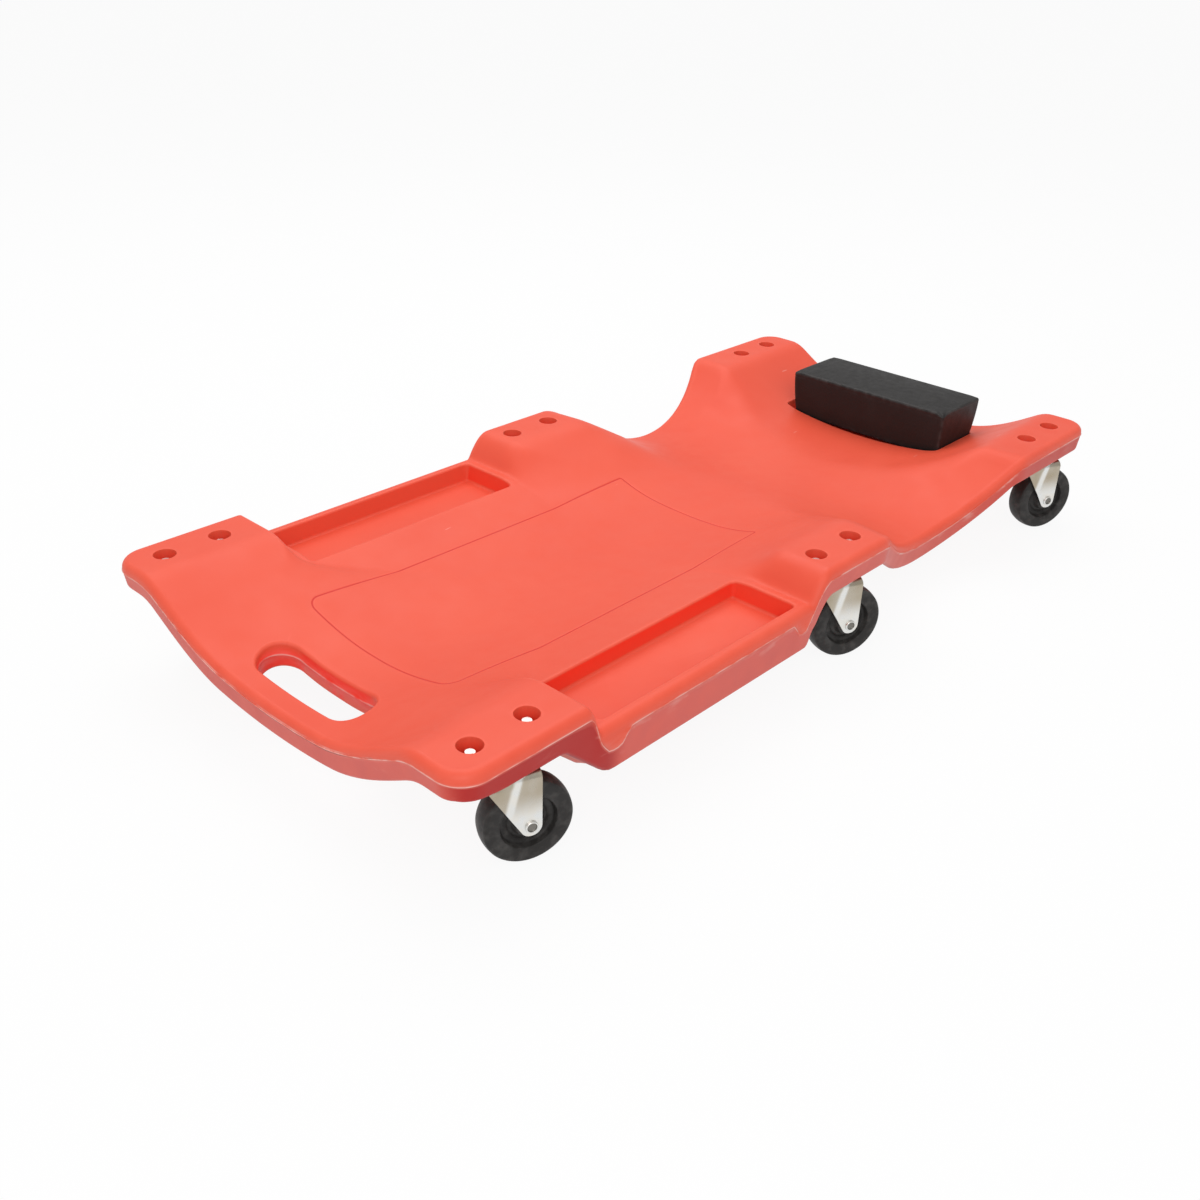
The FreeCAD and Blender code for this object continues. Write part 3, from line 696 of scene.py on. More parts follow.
@dataclass
class Deck:
    """The moulded deck, in millimetres: one closed skin with wells, slot and bolt holes.

    A run is where something sets in and where it is complete. A blend is the reach of a rounded join.
    A zone is a stretch of closer grid lines: its low end, high end and step, or middle, reach and step.
    """

    foot_x: float = -508.0
    head_x: float = 504.5
    half_width: float = 241.5
    corner_r: float = 27.0
    waist_x: float = 195.0
    waist_y: float = 205.0
    waist_r: float = 291.0
    waist_blend: float = 3.0
    pad_top: float = 122.0
    pad_blend: float = 6.0
    ledge: float = 94.6
    ledge_blend: float = 4.0
    dish_low: float = 71.2
    dish_r: float = 590.0
    middle_blend: float = 3.0
    thick: float = 25.0
    trough_low: float = 61.5
    trough_foot_r: float = 145.0
    trough_foot_slope: float = math.radians(32.5)
    trough_head_r: float = 191.0
    trough_head_run: float = 190.0
    trough_fall: float = math.tan(math.radians(5.0))
    trough_blend: Range = (6.0, 26.0)
    trough_blend_y: Range = (150.0, 198.0)
    under_shift: float = 0.3
    ramp_fillet: float = 3.2
    flare_blend: float = 14.0
    foot_crease: float = 0.3
    foot_crease_run: Range = (10.0, 70.0)
    rim_r: float = 8.0
    flash_rise: float = 0.6
    flash_halves: Range = (0.65, 0.2)
    under_r: float = 4.5
    draft: float = 1.8
    wall_shares: tuple[float, ...] = (0.15, 0.4, 0.7, 1.0)
    lip_drop: float = 5.4
    lip_reach: float = 9.0
    foot_lip: float = 3.5
    foot_lip_run: Range = (12.0, 50.0)
    foot_lip_middle: float = 0.7
    foot_lip_y: Range = (150.0, 200.0)
    parting: float = 10.0
    parting_dips: tuple[Range, ...] = ((-344.0, 14.0), (-87.0, 11.0))
    parting_dip: float = 14.0
    foot_parting: float = 6.4
    foot_parting_run: Range = (12.0, 40.0)
    foot_parting_y: Range = (90.0, 180.0)
    caster_xs: Triple = (-441.0, -1.0, 429.0)
    caster_y: float = 210.0
    bolt_spacing: float = 57.7
    bolt_block: float = 17.0
    counterbore_r: float = 10.5
    counterbore_floor: float = 102.0
    counterbore_lip: float = 0.5
    counterbore_draft: float = 0.3
    counterbore_fillet: float = 0.7
    bore_r: float = 4.3
    opening_block: float = 8.0
    tray: Box = (-349.0, -84.0, 155.0, 228.0)
    tray_floor: float = 74.5
    tray_corner: float = 5.0
    tray_lip: float = 2.4
    tray_lip_gap: float = 1.0
    tray_draft: float = 1.8
    tray_fillet: float = 3.0
    tray_box: float = 53.0
    tray_margin: float = 14.0
    box_foot_margin: float = 1.0
    box_foot_bow: float = 13.0
    box_foot_bow_run: float = 18.0
    box_head_margin: float = 9.5
    box_foot_slope: float = 0.9
    box_slope: float = 2.4
    box_end_blend: float = 12.0
    box_side_blend: float = 16.0
    box_blend: float = 6.0
    slot_x: float = -458.8
    slot_r: float = 21.5
    slot_half: float = 70.5
    slot_lip: float = 3.8
    slot_under_lip: float = 3.0
    slot_draft: float = 0.4
    slot_flash_halves: Range = (1.0, 0.4)
    slot_block: Triple = (33.5, 36.0, 12.0)
    pocket: Triple = (376.0, 464.0, 112.0)
    pocket_corner: float = 4.5
    pocket_lip: float = 1.5
    pocket_floor: float = 67.5
    pocket_fillet: Range = (1.0, 0.5)
    panel: Triple = (-395.0, 32.0, 96.0)
    panel_flare: float = 4.4
    panel_foot_r: float = 13.0
    panel_head_r: float = 3.0
    groove_depth: float = 0.5
    groove_half: float = 0.72
    groove_margin: float = 1.6
    groove_steps: Range = (0.9, 0.6)
    screw_x: float = 420.0
    screw_y: float = 70.0
    well_r: float = 8.0
    well_lip: float = 1.0
    well_top: float = 66.0
    well_fillet: float = 0.5
    well_block: float = 13.0
    grid_step: float = 5.4
    ramp_zones: tuple[Triple, ...] = (
        (-380.0, -357.0, 1.9), (-76.0, -46.0, 1.7), (-46.0, -30.0, 3.0), (44.0, 76.0, 2.6),
    )
    side_zones: tuple[Triple, ...] = ((95.0, 7.3, 0.95), (181.0, 9.0, 3.0))
    corner_stops: tuple[float, ...] = (
        0.12, 0.5, 1.1, 2.0, 3.1, 4.5, 6.1, 8.0, 10.2, 12.7, 15.5, 18.6, 22.0, 25.3,
    )
    pads: tuple[PadRun, PadRun, PadRun] = (
        PadRun(-700.0, 10.0, -374.5, 12.0, 181.0, 0.53, 40.0, 156.0, 2.6, 0.5, -0.9),
        PadRun(-44.0, 28.0, 120.0, 19.0, 181.0, 0.53, 26.0, 176.0, 1.5, 0.0, 0.65),
        PadRun(306.0, 19.0, 700.0, 10.0, 186.0, 0.60, 14.0, 150.0, 0.5, 0.5, 0.65),
    )
    marks: DeckMarks = DeckMarks()

    @property
    def rim_inset(self) -> float:
        """How far inside the outline the upper skin ends and the rim's quarter round starts."""
        return self.rim_r + self.flash_rise

    @property
    def foot_inset(self) -> float:
        """How far inside the outline the lower skin ends and the wall's rounded foot starts."""
        return self.under_r + self.draft + self.flash_rise

    @property
    def middle_x(self) -> float:
        """The middle of the deck's length."""
        return (self.foot_x + self.head_x) / 2

    def half_run(self, inset: float) -> float:
        """Half the deck's length, drawn in by an inset."""
        return (self.head_x - self.foot_x) / 2 - inset

    def edge_y(self, x: Array, inset: float) -> Array:
        """Half the plan's width: a straight side, rounded at the ends and drawn in by the waist arc.

        Args:
            x: Positions along the deck.
            inset: How far the outline is drawn in.

        Returns:
            The half width at each position.
        """
        side = self.half_width - inset
        r = self.corner_r - inset
        past = np.maximum(self.foot_x + self.corner_r - x, x - self.head_x + self.corner_r)
        past = np.clip(past, 0.0, r)
        ends = side - r + np.sqrt(np.maximum(r * r - past * past, 0.0))
        arc_r = self.waist_r + inset
        across = np.clip(np.abs(x - self.waist_x), 0.0, arc_r)
        arc = self.waist_y + self.waist_r - np.sqrt(arc_r * arc_r - across * across)
        return soft_min(ends, arc, self.waist_blend)

    def trough(self, x: Array, side: Array) -> Array:
        """Height of the shoulder trough: a slope and a lesser arc before its low point, a wider arc after it.

        Args:
            x: Positions along the deck.
            side: Distances from its middle line.

        Returns:
            The trough's height, which falls towards the side.
        """
        before = np.maximum(self.waist_x - x, 0.0)
        turn = self.trough_foot_r * math.sin(self.trough_foot_slope)
        round_part = np.minimum(before, turn)
        foot = self.trough_foot_r - np.sqrt(self.trough_foot_r ** 2 - round_part ** 2)
        foot = foot + (before - round_part) * math.tan(self.trough_foot_slope)
        after = np.clip(x - self.waist_x, 0.0, self.trough_head_run)
        head = self.trough_head_r - np.sqrt(self.trough_head_r ** 2 - after ** 2)
        return self.trough_low + foot + head + (self.waist_y - side) * self.trough_fall

    def lift(self, pad: PadRun, x: Array, side: Array, drop: float) -> Array:
        """Share of the rise to one pair of pads: 1 on their run along X, with a crowned ramp at each end.

        The ramps grow longer inside the fold, so that each pad's inner corner flares into the dish.

        Args:
            pad: The pair of pads.
            x: Positions along the deck.
            side: Distances from its middle line.
            drop: Offset of the skin.

        Returns:
            1 - (1 - t)^2, with t rising evenly from 0 to 1 up a ramp.
        """
        flare = pad.flare * soft_max(pad.flare_y - side, np.zeros_like(side), self.flare_blend)
        back = flare * pad.flare_back
        shift = self.under_shift * drop
        start_run, end_run = pad.start_ramp + flare, pad.end_ramp + flare
        rise = (x - pad.start + pad.start_ramp - shift + back) / start_run
        fall = (pad.end + pad.end_ramp - pad.draw * drop - x + back) / end_run
        fillet = self.ramp_fillet / np.where(rise < fall, start_run, end_run)
        inside = soft_max(np.minimum(rise, fall), np.zeros_like(x), fillet)
        return 1.0 - (1.0 - np.clip(inside, 0.0, 1.0)) ** 2

    def skin(self, x: Array, y: Array, drop: float) -> Array:
        """Height of the deck's skin, offset downwards by a drop.

        Args:
            x: Positions along the deck.
            y: Positions across it.
            drop: Offset of the skin: 0 for the top, the deck's thickness for the underside.

        Returns:
            A dished arc levelled off at the ledge, raised to the pads inside their runs, and cut down under
            the arms by the tipped trough. Every join is rounded.
        """
        side = np.sqrt(y * y + self.middle_blend ** 2)
        dish = self.dish_low + self.dish_r - np.sqrt((self.dish_r + drop) ** 2 - y * y)
        base = soft_min(dish, np.full_like(dish, self.ledge - drop), self.ledge_blend)
        pad_top = np.full_like(dish, self.pad_top - drop)
        crease = self.foot_crease + (1.0 - self.foot_crease) * ease(x - self.foot_x, *self.foot_crease_run)
        height = base
        for pad in self.pads:
            slope = self.pad_top - (pad.fold_y - side) * pad.slope - drop * math.hypot(1.0, pad.slope)
            raised = soft_min(soft_max(slope, dish, pad.blend * crease), pad_top, self.pad_blend)
            height = height + self.lift(pad, x, side, drop) * (raised - base)
        outer, inner = self.trough_blend
        reach = outer + (inner - outer) * (1.0 - ease(side, *self.trough_blend_y))
        return soft_min(height, self.trough(x, side) - drop, reach)

    def groove(self, x: Array, y: Array) -> Array:
        """Share of the engraved panel line: a bell curve of the distance from its rounded outline.

        Args:
            x: Positions along the deck.
            y: Positions across it.

        Returns:
            1 on the line, falling to 0 beside it.
        """
        low, high, half = self.panel
        middle = (low + high) / 2
        r = np.where(x < middle, self.panel_foot_r, self.panel_head_r)
        flare = 1.0 + self.panel_flare / half * (high - x) / (high - low)
        away = box_distance(x - middle, y / flare, (high - low) / 2, half, r)
        return bell(away, self.groove_half)

    def top(self, x: Array, y: Array) -> Array:
        """Height of the upper skin: the skin with the engraved panel line pressed into it."""
        return self.skin(x, y, 0.0) - self.groove_depth * self.groove(x, y)

    def inset_of(self, x: Array, y: Array) -> Array:
        """How far a point lies inside the plan's outline, measured along the axes."""
        ends = np.minimum(x - self.foot_x, self.head_x - x)
        return np.minimum(self.edge_y(x, 0.0) - np.abs(y), ends)

    def under(self, x: Array, y: Array) -> Array:
        """Height of the lower skin: the offset skin with the tray boxes below it and a lip round its edge.

        Args:
            x: Positions along the deck.
            y: Positions across it.

        Returns:
            The lower of the skin and of the boxes, whose floors slope up at their ends, less the lip's depth.
        """
        x0, x1, y0, _ = self.tray
        inset = self.inset_of(x, y)
        bow = self.box_foot_bow * ease(inset, self.foot_inset, self.foot_inset + self.box_foot_bow_run)
        before = self.box_foot_slope * (x0 - self.box_foot_margin - bow - x)
        after = self.box_slope * (x - x1 - self.box_head_margin)
        inside = self.box_slope * (y0 - self.tray_margin - np.abs(y))
        rise = soft_max(soft_max(before, after, self.box_end_blend), inside, self.box_side_blend)
        box = self.tray_box + soft_max(rise, np.zeros_like(rise), self.box_blend)
        lip = 1.0 - ease(inset, self.foot_inset, self.foot_inset + self.lip_reach)
        sides = self.foot_lip_middle + (1.0 - self.foot_lip_middle) * ease(np.abs(y), *self.foot_lip_y)
        ends = (1.0 - ease(x - self.foot_x, *self.foot_lip_run)) * sides
        depth = self.lip_drop - self.foot_lip * ends
        return soft_min(self.skin(x, y, self.thick), box, self.box_blend) - depth * lip

    def bolts(self) -> list[Range]:
        """Plan positions of the caster bolts."""
        pairs = [(x + end * self.bolt_spacing / 2) for x in self.caster_xs for end in (-1, 1)]
        return [(x, side * self.caster_y) for side in (-1, 1) for x in pairs]

    def wells(self) -> list[Range]:
        """Plan positions of the screw wells under the headrest."""
        return [(self.screw_x, side * self.screw_y) for side in (-1, 1)]

    def blocks(self) -> list[Box]:
        """Finds room for each opening of the upper skin.

        Returns:
            Plan boxes (x0, x1, y0, y1) round the bolts, the two trays, the slot and the pocket.
        """
        b, gap = self.bolt_block, self.opening_block
        made = [(x - b, x + b, y - b, y + b) for x, y in self.bolts()]
        x0, x1, y0, y1 = self.tray
        for side in (-1, 1):
            ends = sorted((side * (y0 - gap), side * (y1 + self.tray_lip + self.tray_lip_gap)))
            made.append((x0 - gap, x1 + gap, ends[0], ends[1]))
        before, after, beside = self.slot_block
        reach = self.slot_half + beside
        made.append((self.slot_x - before, self.slot_x + after, -reach, reach))
        x0, x1, half = self.pocket
        made.append((x0 - gap, x1 + gap, -half - gap, half + gap))
        return made

    def well_blocks(self) -> list[Box]:
        """Finds room for the screw wells, which are in the lower skin.

        Returns:
            Plan boxes in the upper skin's lines, which the lower skin draws in a little.
        """
        along = self.half_run(self.rim_inset) / self.half_run(self.foot_inset)
        across = (self.half_width - self.rim_inset) / (self.half_width - self.foot_inset)
        made = []
        for x, y in self.wells():
            ends = (x - self.well_block, x + self.well_block)
            x0, x1 = (self.middle_x + (end - self.middle_x) * along for end in ends)
            made.append((x0, x1, (y - self.well_block) * across, (y + self.well_block) * across))
        return made

    def lines(self) -> Pair:
        """Lays out the upper skin's grid.

        Returns:
            Lines along X and Y, through every block's edges, closer at ramps, corners, folds and the groove.
        """
        low, high = self.foot_x + self.rim_inset, self.head_x - self.rim_inset
        edge = self.half_width - self.rim_inset
        x_stops = [low, high, *(low + d for d in self.corner_stops), *(high - d for d in self.corner_stops)]
        y_stops = [-edge, 0.0, edge]
        for x0, x1, y0, y1 in self.blocks() + self.well_blocks():
            x_stops += [x0, x1]
            y_stops += [y0, y1]
        first, last, _ = self.panel
        foot_step, head_step = self.groove_steps
        x_zones = [
            *self.ramp_zones,
            (first - self.groove_margin, first + self.panel_foot_r, foot_step),
            (last - self.panel_head_r, last + self.groove_margin, head_step),
        ]
        y_zones = []
        for at, reach, step in self.side_zones:
            y_zones += [(side * at - reach, side * at + reach, step) for side in (-1, 1)]
        return graded(x_stops, self.grid_step, x_zones), graded(y_stops, self.grid_step, y_zones)

    def spread(self, lines: Pair, inset: float) -> Pair:
        """Fits the grid's lines inside the outline.

        Args:
            lines: The upper skin's lines.
            inset: How far the outline is drawn in.

        Returns:
            Plan positions of the grid's points.
        """
        share = self.half_run(inset) / self.half_run(self.rim_inset)
        along = self.middle_x + (lines[0] - self.middle_x) * share
        across = lines[1] / (self.half_width - self.rim_inset)
        x = np.repeat(along[:, None], len(across), axis=1)
        return x, across[None, :] * self.edge_y(along, inset)[:, None]

    @staticmethod
    def spans(lines: Pair, boxes: list[Box]) -> list[Span]:
        """Finds boxes in a grid.

        Args:
            lines: The grid's lines.
            boxes: Plan boxes.

        Returns:
            Indices of the lines nearest to each box's edges.
        """
        found = []
        for x0, x1, y0, y1 in boxes:
            i0, i1 = (int(np.argmin(np.abs(lines[0] - v))) for v in (x0, x1))
            j0, j1 = (int(np.argmin(np.abs(lines[1] - v))) for v in (y0, y1))
            found.append((i0, i1, j0, j1))
        return found

    def build(self) -> Piece:
        """Builds the closed skin of the deck: two grids, the openings between them, and the rim.

        Returns:
            The deck, not yet dressed.
        """
        work = Patchwork()
        lines = self.lines()
        x, y = self.spread(lines, self.rim_inset)
        upper = np.stack([x, y, self.top(x, y)], axis=-1)
        x, y = self.spread(lines, self.foot_inset)
        lower = np.stack([x, y, self.under(x, y)], axis=-1)
        above = self.spans(lines, self.blocks())
        count = len(self.bolts())
        holes, trays, (slot, pocket) = above[:count], above[count:-2], above[-2:]
        wells = self.spans(lines, self.well_blocks())
        work.grid(upper, keep=outside(upper.shape[:2], above))
        work.grid(lower, keep=outside(lower.shape[:2], [*holes, slot, *wells]))
        for centre, span in zip(self.bolts(), holes):
            self.bolt_hole(work, centre, around(upper, span), around(lower, span))
        for side, span in zip((-1, 1), trays):
            self.tray_well(work, side, around(upper, span))
        self.hand_slot(work, around(upper, slot), around(lower, slot))
        self.headrest_pocket(work, around(upper, pocket))
        for centre, span in zip(self.wells(), wells):
            self.screw_well(work, centre, around(lower, span))
        self.rim(work, around(upper, whole(upper)), around(lower, whole(lower)))
        return work.mesh("deck")

    @staticmethod
    def inward(loop: Array, centre: Range, core: Range) -> Pair:
        """Relates a loop to the core of an opening.

        Args:
            loop: Points round the opening's block.
            centre: The opening's middle in plan.
            core: Half sizes of its core, a box that its rounded corners turn about.

        Returns:
            The nearest point of the core to each point, and the unit direction out from it.
        """
        flat = loop[:, :2] - np.array(centre)
        near = np.clip(flat, -np.array(core), np.array(core))
        out = flat - near
        return near + np.array(centre), out / np.linalg.norm(out, axis=1, keepdims=True)

    def lead_in(self, loop: Array, way: Pair, r: float, rings: int, upper: bool = True) -> Array:
        """Rings on the skin from a block's edge to a rounded outline, evenly spaced between the two.

        Args:
            loop: Points round the block.
            way: Core points and directions out from them.
            r: Radius of the outline about the core.
            rings: How many steps there are.
            upper: Whether the upper skin carries the rings.

        Returns:
            Points as (rings + 1, count, 3).
        """
        near, out = way
        s = np.linspace(0.0, 1.0, rings + 1)[:, None, None]
        flat = loop[None, :, :2] * (1.0 - s) + (near + out * r)[None] * s
        z = (self.top if upper else self.under)(flat[..., 0], flat[..., 1])
        z[0] = loop[:, 2]
        return np.concatenate([flat, z[..., None]], axis=-1)

    @staticmethod
    def steps(way: Pair, radii: Array, heights: Array) -> Array:
        """Rings of a wall about a core.

        Args:
            way: Core points and directions out from them.
            radii: One radius for each ring.
            heights: One height, or row of heights, for each ring.

        Returns:
            Points as (rings, count, 3).
        """
        near, out = way
        flat = near[None] + out[None] * np.asarray(radii)[:, None, None]
        z = np.broadcast_to(np.asarray(heights).reshape(len(radii), -1), flat.shape[:2])
        return np.concatenate([flat, z[..., None]], axis=-1)

    def lip(self, way: Pair, r: float, edge: float, rim_z: Array, sign: float = 1.0) -> Array:
        """A quarter-round edge that turns from the skin into a wall.

        Args:
            way: Core points and directions out from them.
            r: The wall's radius about the core.
            edge: The edge's own radius.
            rim_z: Heights where it leaves the skin.
            sign: 1 where the wall goes down, -1 where it goes up.

        Returns:
            Points as (rings, count, 3).
        """
        a = quarter(7)[1:]
        heights = rim_z[None] - sign * edge * (1.0 - np.cos(a))[:, None]
        return self.steps(way, r + edge * (1.0 - np.sin(a)), heights)

    def bolt_hole(self, work: Patchwork, centre: Range, upper: Array, lower: Array) -> None:
        """A counterbored hole right through the deck: rings about the bolt's axis, from skin to skin.

        Args:
            work: Where it is added.
            centre: The bolt's place in plan.
            upper: Loop round its block of the upper skin.
            lower: Loop round its block of the lower skin.
        """
        r, floor, fillet = self.counterbore_r, self.counterbore_floor, self.counterbore_fillet
        way = self.inward(upper, centre, (0.0, 0.0))
        first = self.lead_in(upper, way, r + self.counterbore_lip, rings=3)
        edge = self.lip(way, r, self.counterbore_lip, first[-1][:, 2])
        wall_r = r - self.counterbore_draft
        radii = np.array([wall_r, wall_r - fillet, self.bore_r])
        walls = self.steps(way, radii, np.array([floor + fillet, floor, floor]))
        below = self.inward(lower, centre, (0.0, 0.0))
        last = self.lead_in(lower, below, self.bore_r, rings=2, upper=False)[::-1]
        work.grid(np.concatenate([first, edge, walls, last]), closed=True)

    def tray_well(self, work: Patchwork, side: int, upper: Array) -> None:
        """A tool tray: rounded lip, drafted wall, filleted floor.

        Args:
            work: Where it is added.
            side: 1 for the left tray, -1 for the right one.
            upper: Loop round its block of the upper skin.
        """
        x0, x1, y0, y1 = self.tray
        r, fillet = self.tray_corner, self.tray_fillet
        core = ((x1 - x0) / 2 - r, (y1 - y0) / 2 - r)
        way = self.inward(upper, ((x0 + x1) / 2, side * (y0 + y1) / 2), core)
        first = self.lead_in(upper, way, r + self.tray_lip, rings=2)
        edge = self.lip(way, r, self.tray_lip, first[-1][:, 2])
        a = quarter(6)
        radii = r - self.tray_draft - fillet * (1.0 - np.cos(a))
        foot = self.steps(way, radii, self.tray_floor + fillet * (1.0 - np.sin(a)))
        work.grid(np.concatenate([first, edge, foot]), closed=True)
        work.cap(foot[-1])

    def hand_slot(self, work: Patchwork, upper: Array, lower: Array) -> None:
        """The carrying slot: a stadium through the deck with rounded lips and a flash line half way down.

        Args:
            work: Where it is added.
            upper: Loop round its block of the upper skin.
            lower: Loop round its block of the lower skin.
        """
        core = (0.0, self.slot_half - self.slot_r)
        r = self.slot_r
        way = self.inward(upper, (self.slot_x, 0.0), core)
        first = self.lead_in(upper, way, r + self.slot_lip, rings=2)
        edge = self.lip(way, r, self.slot_lip, first[-1][:, 2])
        under = self.inward(lower, (self.slot_x, 0.0), core)
        last = self.lead_in(lower, under, r + self.slot_under_lip, rings=2, upper=False)
        below = self.lip(under, r, self.slot_under_lip, last[-1][:, 2], sign=-1.0)
        line = self.slot_line(way[0][:, 1] + way[1][:, 1] * r)
        radii = r - self.slot_draft - self.flash_rise * np.array([0.0, 1.0, 1.0, 0.0])
        foot, crest = self.slot_flash_halves
        flash = self.steps(way, radii, line[None] + np.array([foot, crest, -crest, -foot])[:, None])
        work.grid(np.concatenate([first, edge, flash, below[::-1], last[::-1]]), closed=True)

    def slot_line(self, y: Array) -> Array:
        """Height of the flash line on the slot's wall: a parting depth below the skin above it."""
        return self.skin(np.full_like(y, self.slot_x), y, 0.0) - self.parting - self.flash_rise

    def headrest_pocket(self, work: Patchwork, upper: Array) -> None:
        """The headrest's pocket: a shallow rounded box with a flat floor.

        Args:
            work: Where it is added.
            upper: Loop round its block of the upper skin.
        """
        x0, x1, half = self.pocket
        r, floor = self.pocket_corner, self.pocket_floor
        way = self.inward(upper, ((x0 + x1) / 2, 0.0), ((x1 - x0) / 2 - r, half - r))
        first = self.lead_in(upper, way, r + self.pocket_lip, rings=2)
        edge = self.lip(way, r, self.pocket_lip, first[-1][:, 2])
        across, up = self.pocket_fillet
        base = self.steps(way, np.array([r, r - across]), np.array([floor + up, floor]))
        work.grid(np.concatenate([first, edge, base]), closed=True)
        work.cap(base[-1])

    def screw_well(self, work: Patchwork, centre: Range, lower: Array) -> None:
        """A round well up into the underside, for a headrest screw.

        Args:
            work: Where it is added.
            centre: The screw's place in plan.
            lower: Loop round its block of the lower skin.
        """
        r, top, fillet = self.well_r, self.well_top, self.well_fillet
        way = self.inward(lower, centre, (0.0, 0.0))
        first = self.lead_in(lower, way, r + self.well_lip, rings=2, upper=False)
        edge = self.lip(way, r, self.well_lip, first[-1][:, 2], sign=-1.0)
        walls = self.steps(way, np.array([r, r - fillet]), np.array([top - fillet, top]))
        work.grid(np.concatenate([first, edge, walls]), closed=True)
        work.cap(walls[-1])

    def parting_z(self, x: Array, y: Array, top: Array) -> Array:
        """Height of the mould's parting line round the rim.

        Args:
            x: Positions along the deck.
            y: Positions across it.
            top: Heights of the rim.

        Returns:
            A little under the rim, less so in the middle of the foot end, and lower at the trays' ends.
        """
        dips = sum(np.exp(-(((x - at) / half) ** 4)) for at, half in self.parting_dips)
        foot = 1.0 - ease(x - self.foot_x, *self.foot_parting_run)
        middle = foot * (1.0 - ease(np.abs(y), *self.foot_parting_y))
        return top - self.parting + (self.parting - self.foot_parting) * middle - self.parting_dip * dips

    @staticmethod
    def ring(base: Array, normal: Array, offset: float, z: Array) -> Array:
        """A loop moved out along its plan normals to an offset, at given heights."""
        return np.concatenate([base[:, :2] + normal * offset, z[:, None]], axis=1)

    def rim(self, work: Patchwork, upper: Array, lower: Array) -> None:
        """The deck's outer wall: a quarter round, a raised flash line, a drafted wall and a rounded foot.

        The profile is carried round the outline. Each point moves along the outline's outward normal.

        Args:
            work: Where it is added.
            upper: Loop round the upper skin.
            lower: Loop round the lower skin.
        """
        ahead = np.roll(upper[:, :2], -1, axis=0) - np.roll(upper[:, :2], 1, axis=0)
        normal = np.stack([ahead[:, 1], -ahead[:, 0]], axis=1)
        normal /= np.linalg.norm(normal, axis=1, keepdims=True)
        top, foot = upper[:, 2], lower[:, 2]
        line = self.parting_z(upper[:, 0], upper[:, 1], top)
        r, rise = self.rim_r, self.flash_rise
        rings = [upper]
        for a in quarter(8)[1:]:
            rings.append(self.ring(upper, normal, r * math.sin(a), top - r * (1.0 - math.cos(a))))
        base, crest = self.flash_halves
        for offset, up in ((0.0, base), (rise, crest), (rise, -crest), (0.0, -base)):
            rings.append(self.ring(upper, normal, r + offset, line + up))
        start, end = line - base, foot + self.under_r
        for share in self.wall_shares:
            rings.append(self.ring(upper, normal, r - self.draft * share, start + share * (end - start)))
        wall = rings[-1][:, :2]
        for a in quarter(7)[1:-1]:
            flat = wall + (lower[:, :2] - wall) * (1.0 - math.cos(a))
            z = foot + self.under_r * (1.0 - math.sin(a))
            rings.append(np.concatenate([flat, z[:, None]], axis=1))
        rings.append(lower)
        work.grid(np.stack(rings), closed=True)

    def dress(self, piece: Piece, finish: DeckPlastic) -> None:
        """Marks the flash, the hazed walls, painted shade on the pads' walls and in the groove, painted
        bounce light in the hollows and rubbed edges with a painted highlight, and gives the deck its plastic.

        Args:
            piece: The built deck.
            finish: Its plastic.
        """
        m, reach = self.marks, self.rim_inset
        x, y, z = (coordinates(piece) / MM).T
        inset = self.inset_of(x, y)
        outer = inset < reach
        side = np.clip(self.edge_y(x, reach), 1.0, None)
        inner_x = np.clip(x, self.foot_x + reach, self.head_x - reach)
        line = self.parting_z(x, y, self.skin(inner_x, np.clip(y, -side, side), 0.0))
        slot = box_distance(x - self.slot_x, y, self.slot_r, self.slot_half, self.slot_r)
        slot_line = self.slot_line(y)
        band = np.where(inset < m.flash_inset, bell(z - line, m.flash_width), 0.0)
        in_slot = (slot > m.slot_flash_reach[0]) & (slot < m.slot_flash_reach[1])
        slot_band = np.where(in_slot, bell(z - slot_line, m.slot_flash_width), 0.0)
        paint(piece, "flash", np.maximum(band, slot_band))
        below = np.where(outer, ease(line - z, *m.wall_run), 0.0)
        # Painted shade on the lower wall at the foot pads' sides and, more lightly, round the head end
        pads = ease(np.abs(y), *m.deep_y) * (1.0 - ease(x, *m.deep_foot_x))
        pads = pads + m.deep_head_share * ease(x, *m.deep_head_x)
        paint(piece, "pad_wall_shade", below * pads)
        slot_wall = np.where(np.abs(slot) < m.slot_wall_reach, ease(slot_line - z, *m.wall_run), 0.0)
        paint(piece, "lower", np.maximum(below * (1.0 - m.deep_hides * pads), m.slot_wall_share * slot_wall))
        depth = self.skin(x, y, 0.0) - z
        # Painted red bounce light inside the hollows, sparing the trays' floors and the underside
        sunk_red_bounce = ease(depth, *m.sunk_run) * ease(np.abs(z - self.tray_floor), *m.sunk_floor_run)
        hollow = (inset > 2.0 * reach) & (z > self.under(x, y) + m.sunk_under_gap)
        paint(piece, "sunk_red_bounce", np.where(hollow, sunk_red_bounce, 0.0))
        paint(piece, "scuffed", np.where(outer, bell(z - line + m.scuff_drop, m.scuff_width), 0.0))
        # Painted shade in the engraved panel line
        paint(piece, "groove", np.where(depth < m.groove_reach, self.groove(x, y), 0.0))
        # Convex edges: wear with a painted highlight
        paint(piece, "rubbed_and_highlit", convexity(piece, m.rub_and_highlight_reach))
        piece.data.materials.append(finish.make())


# Headrest

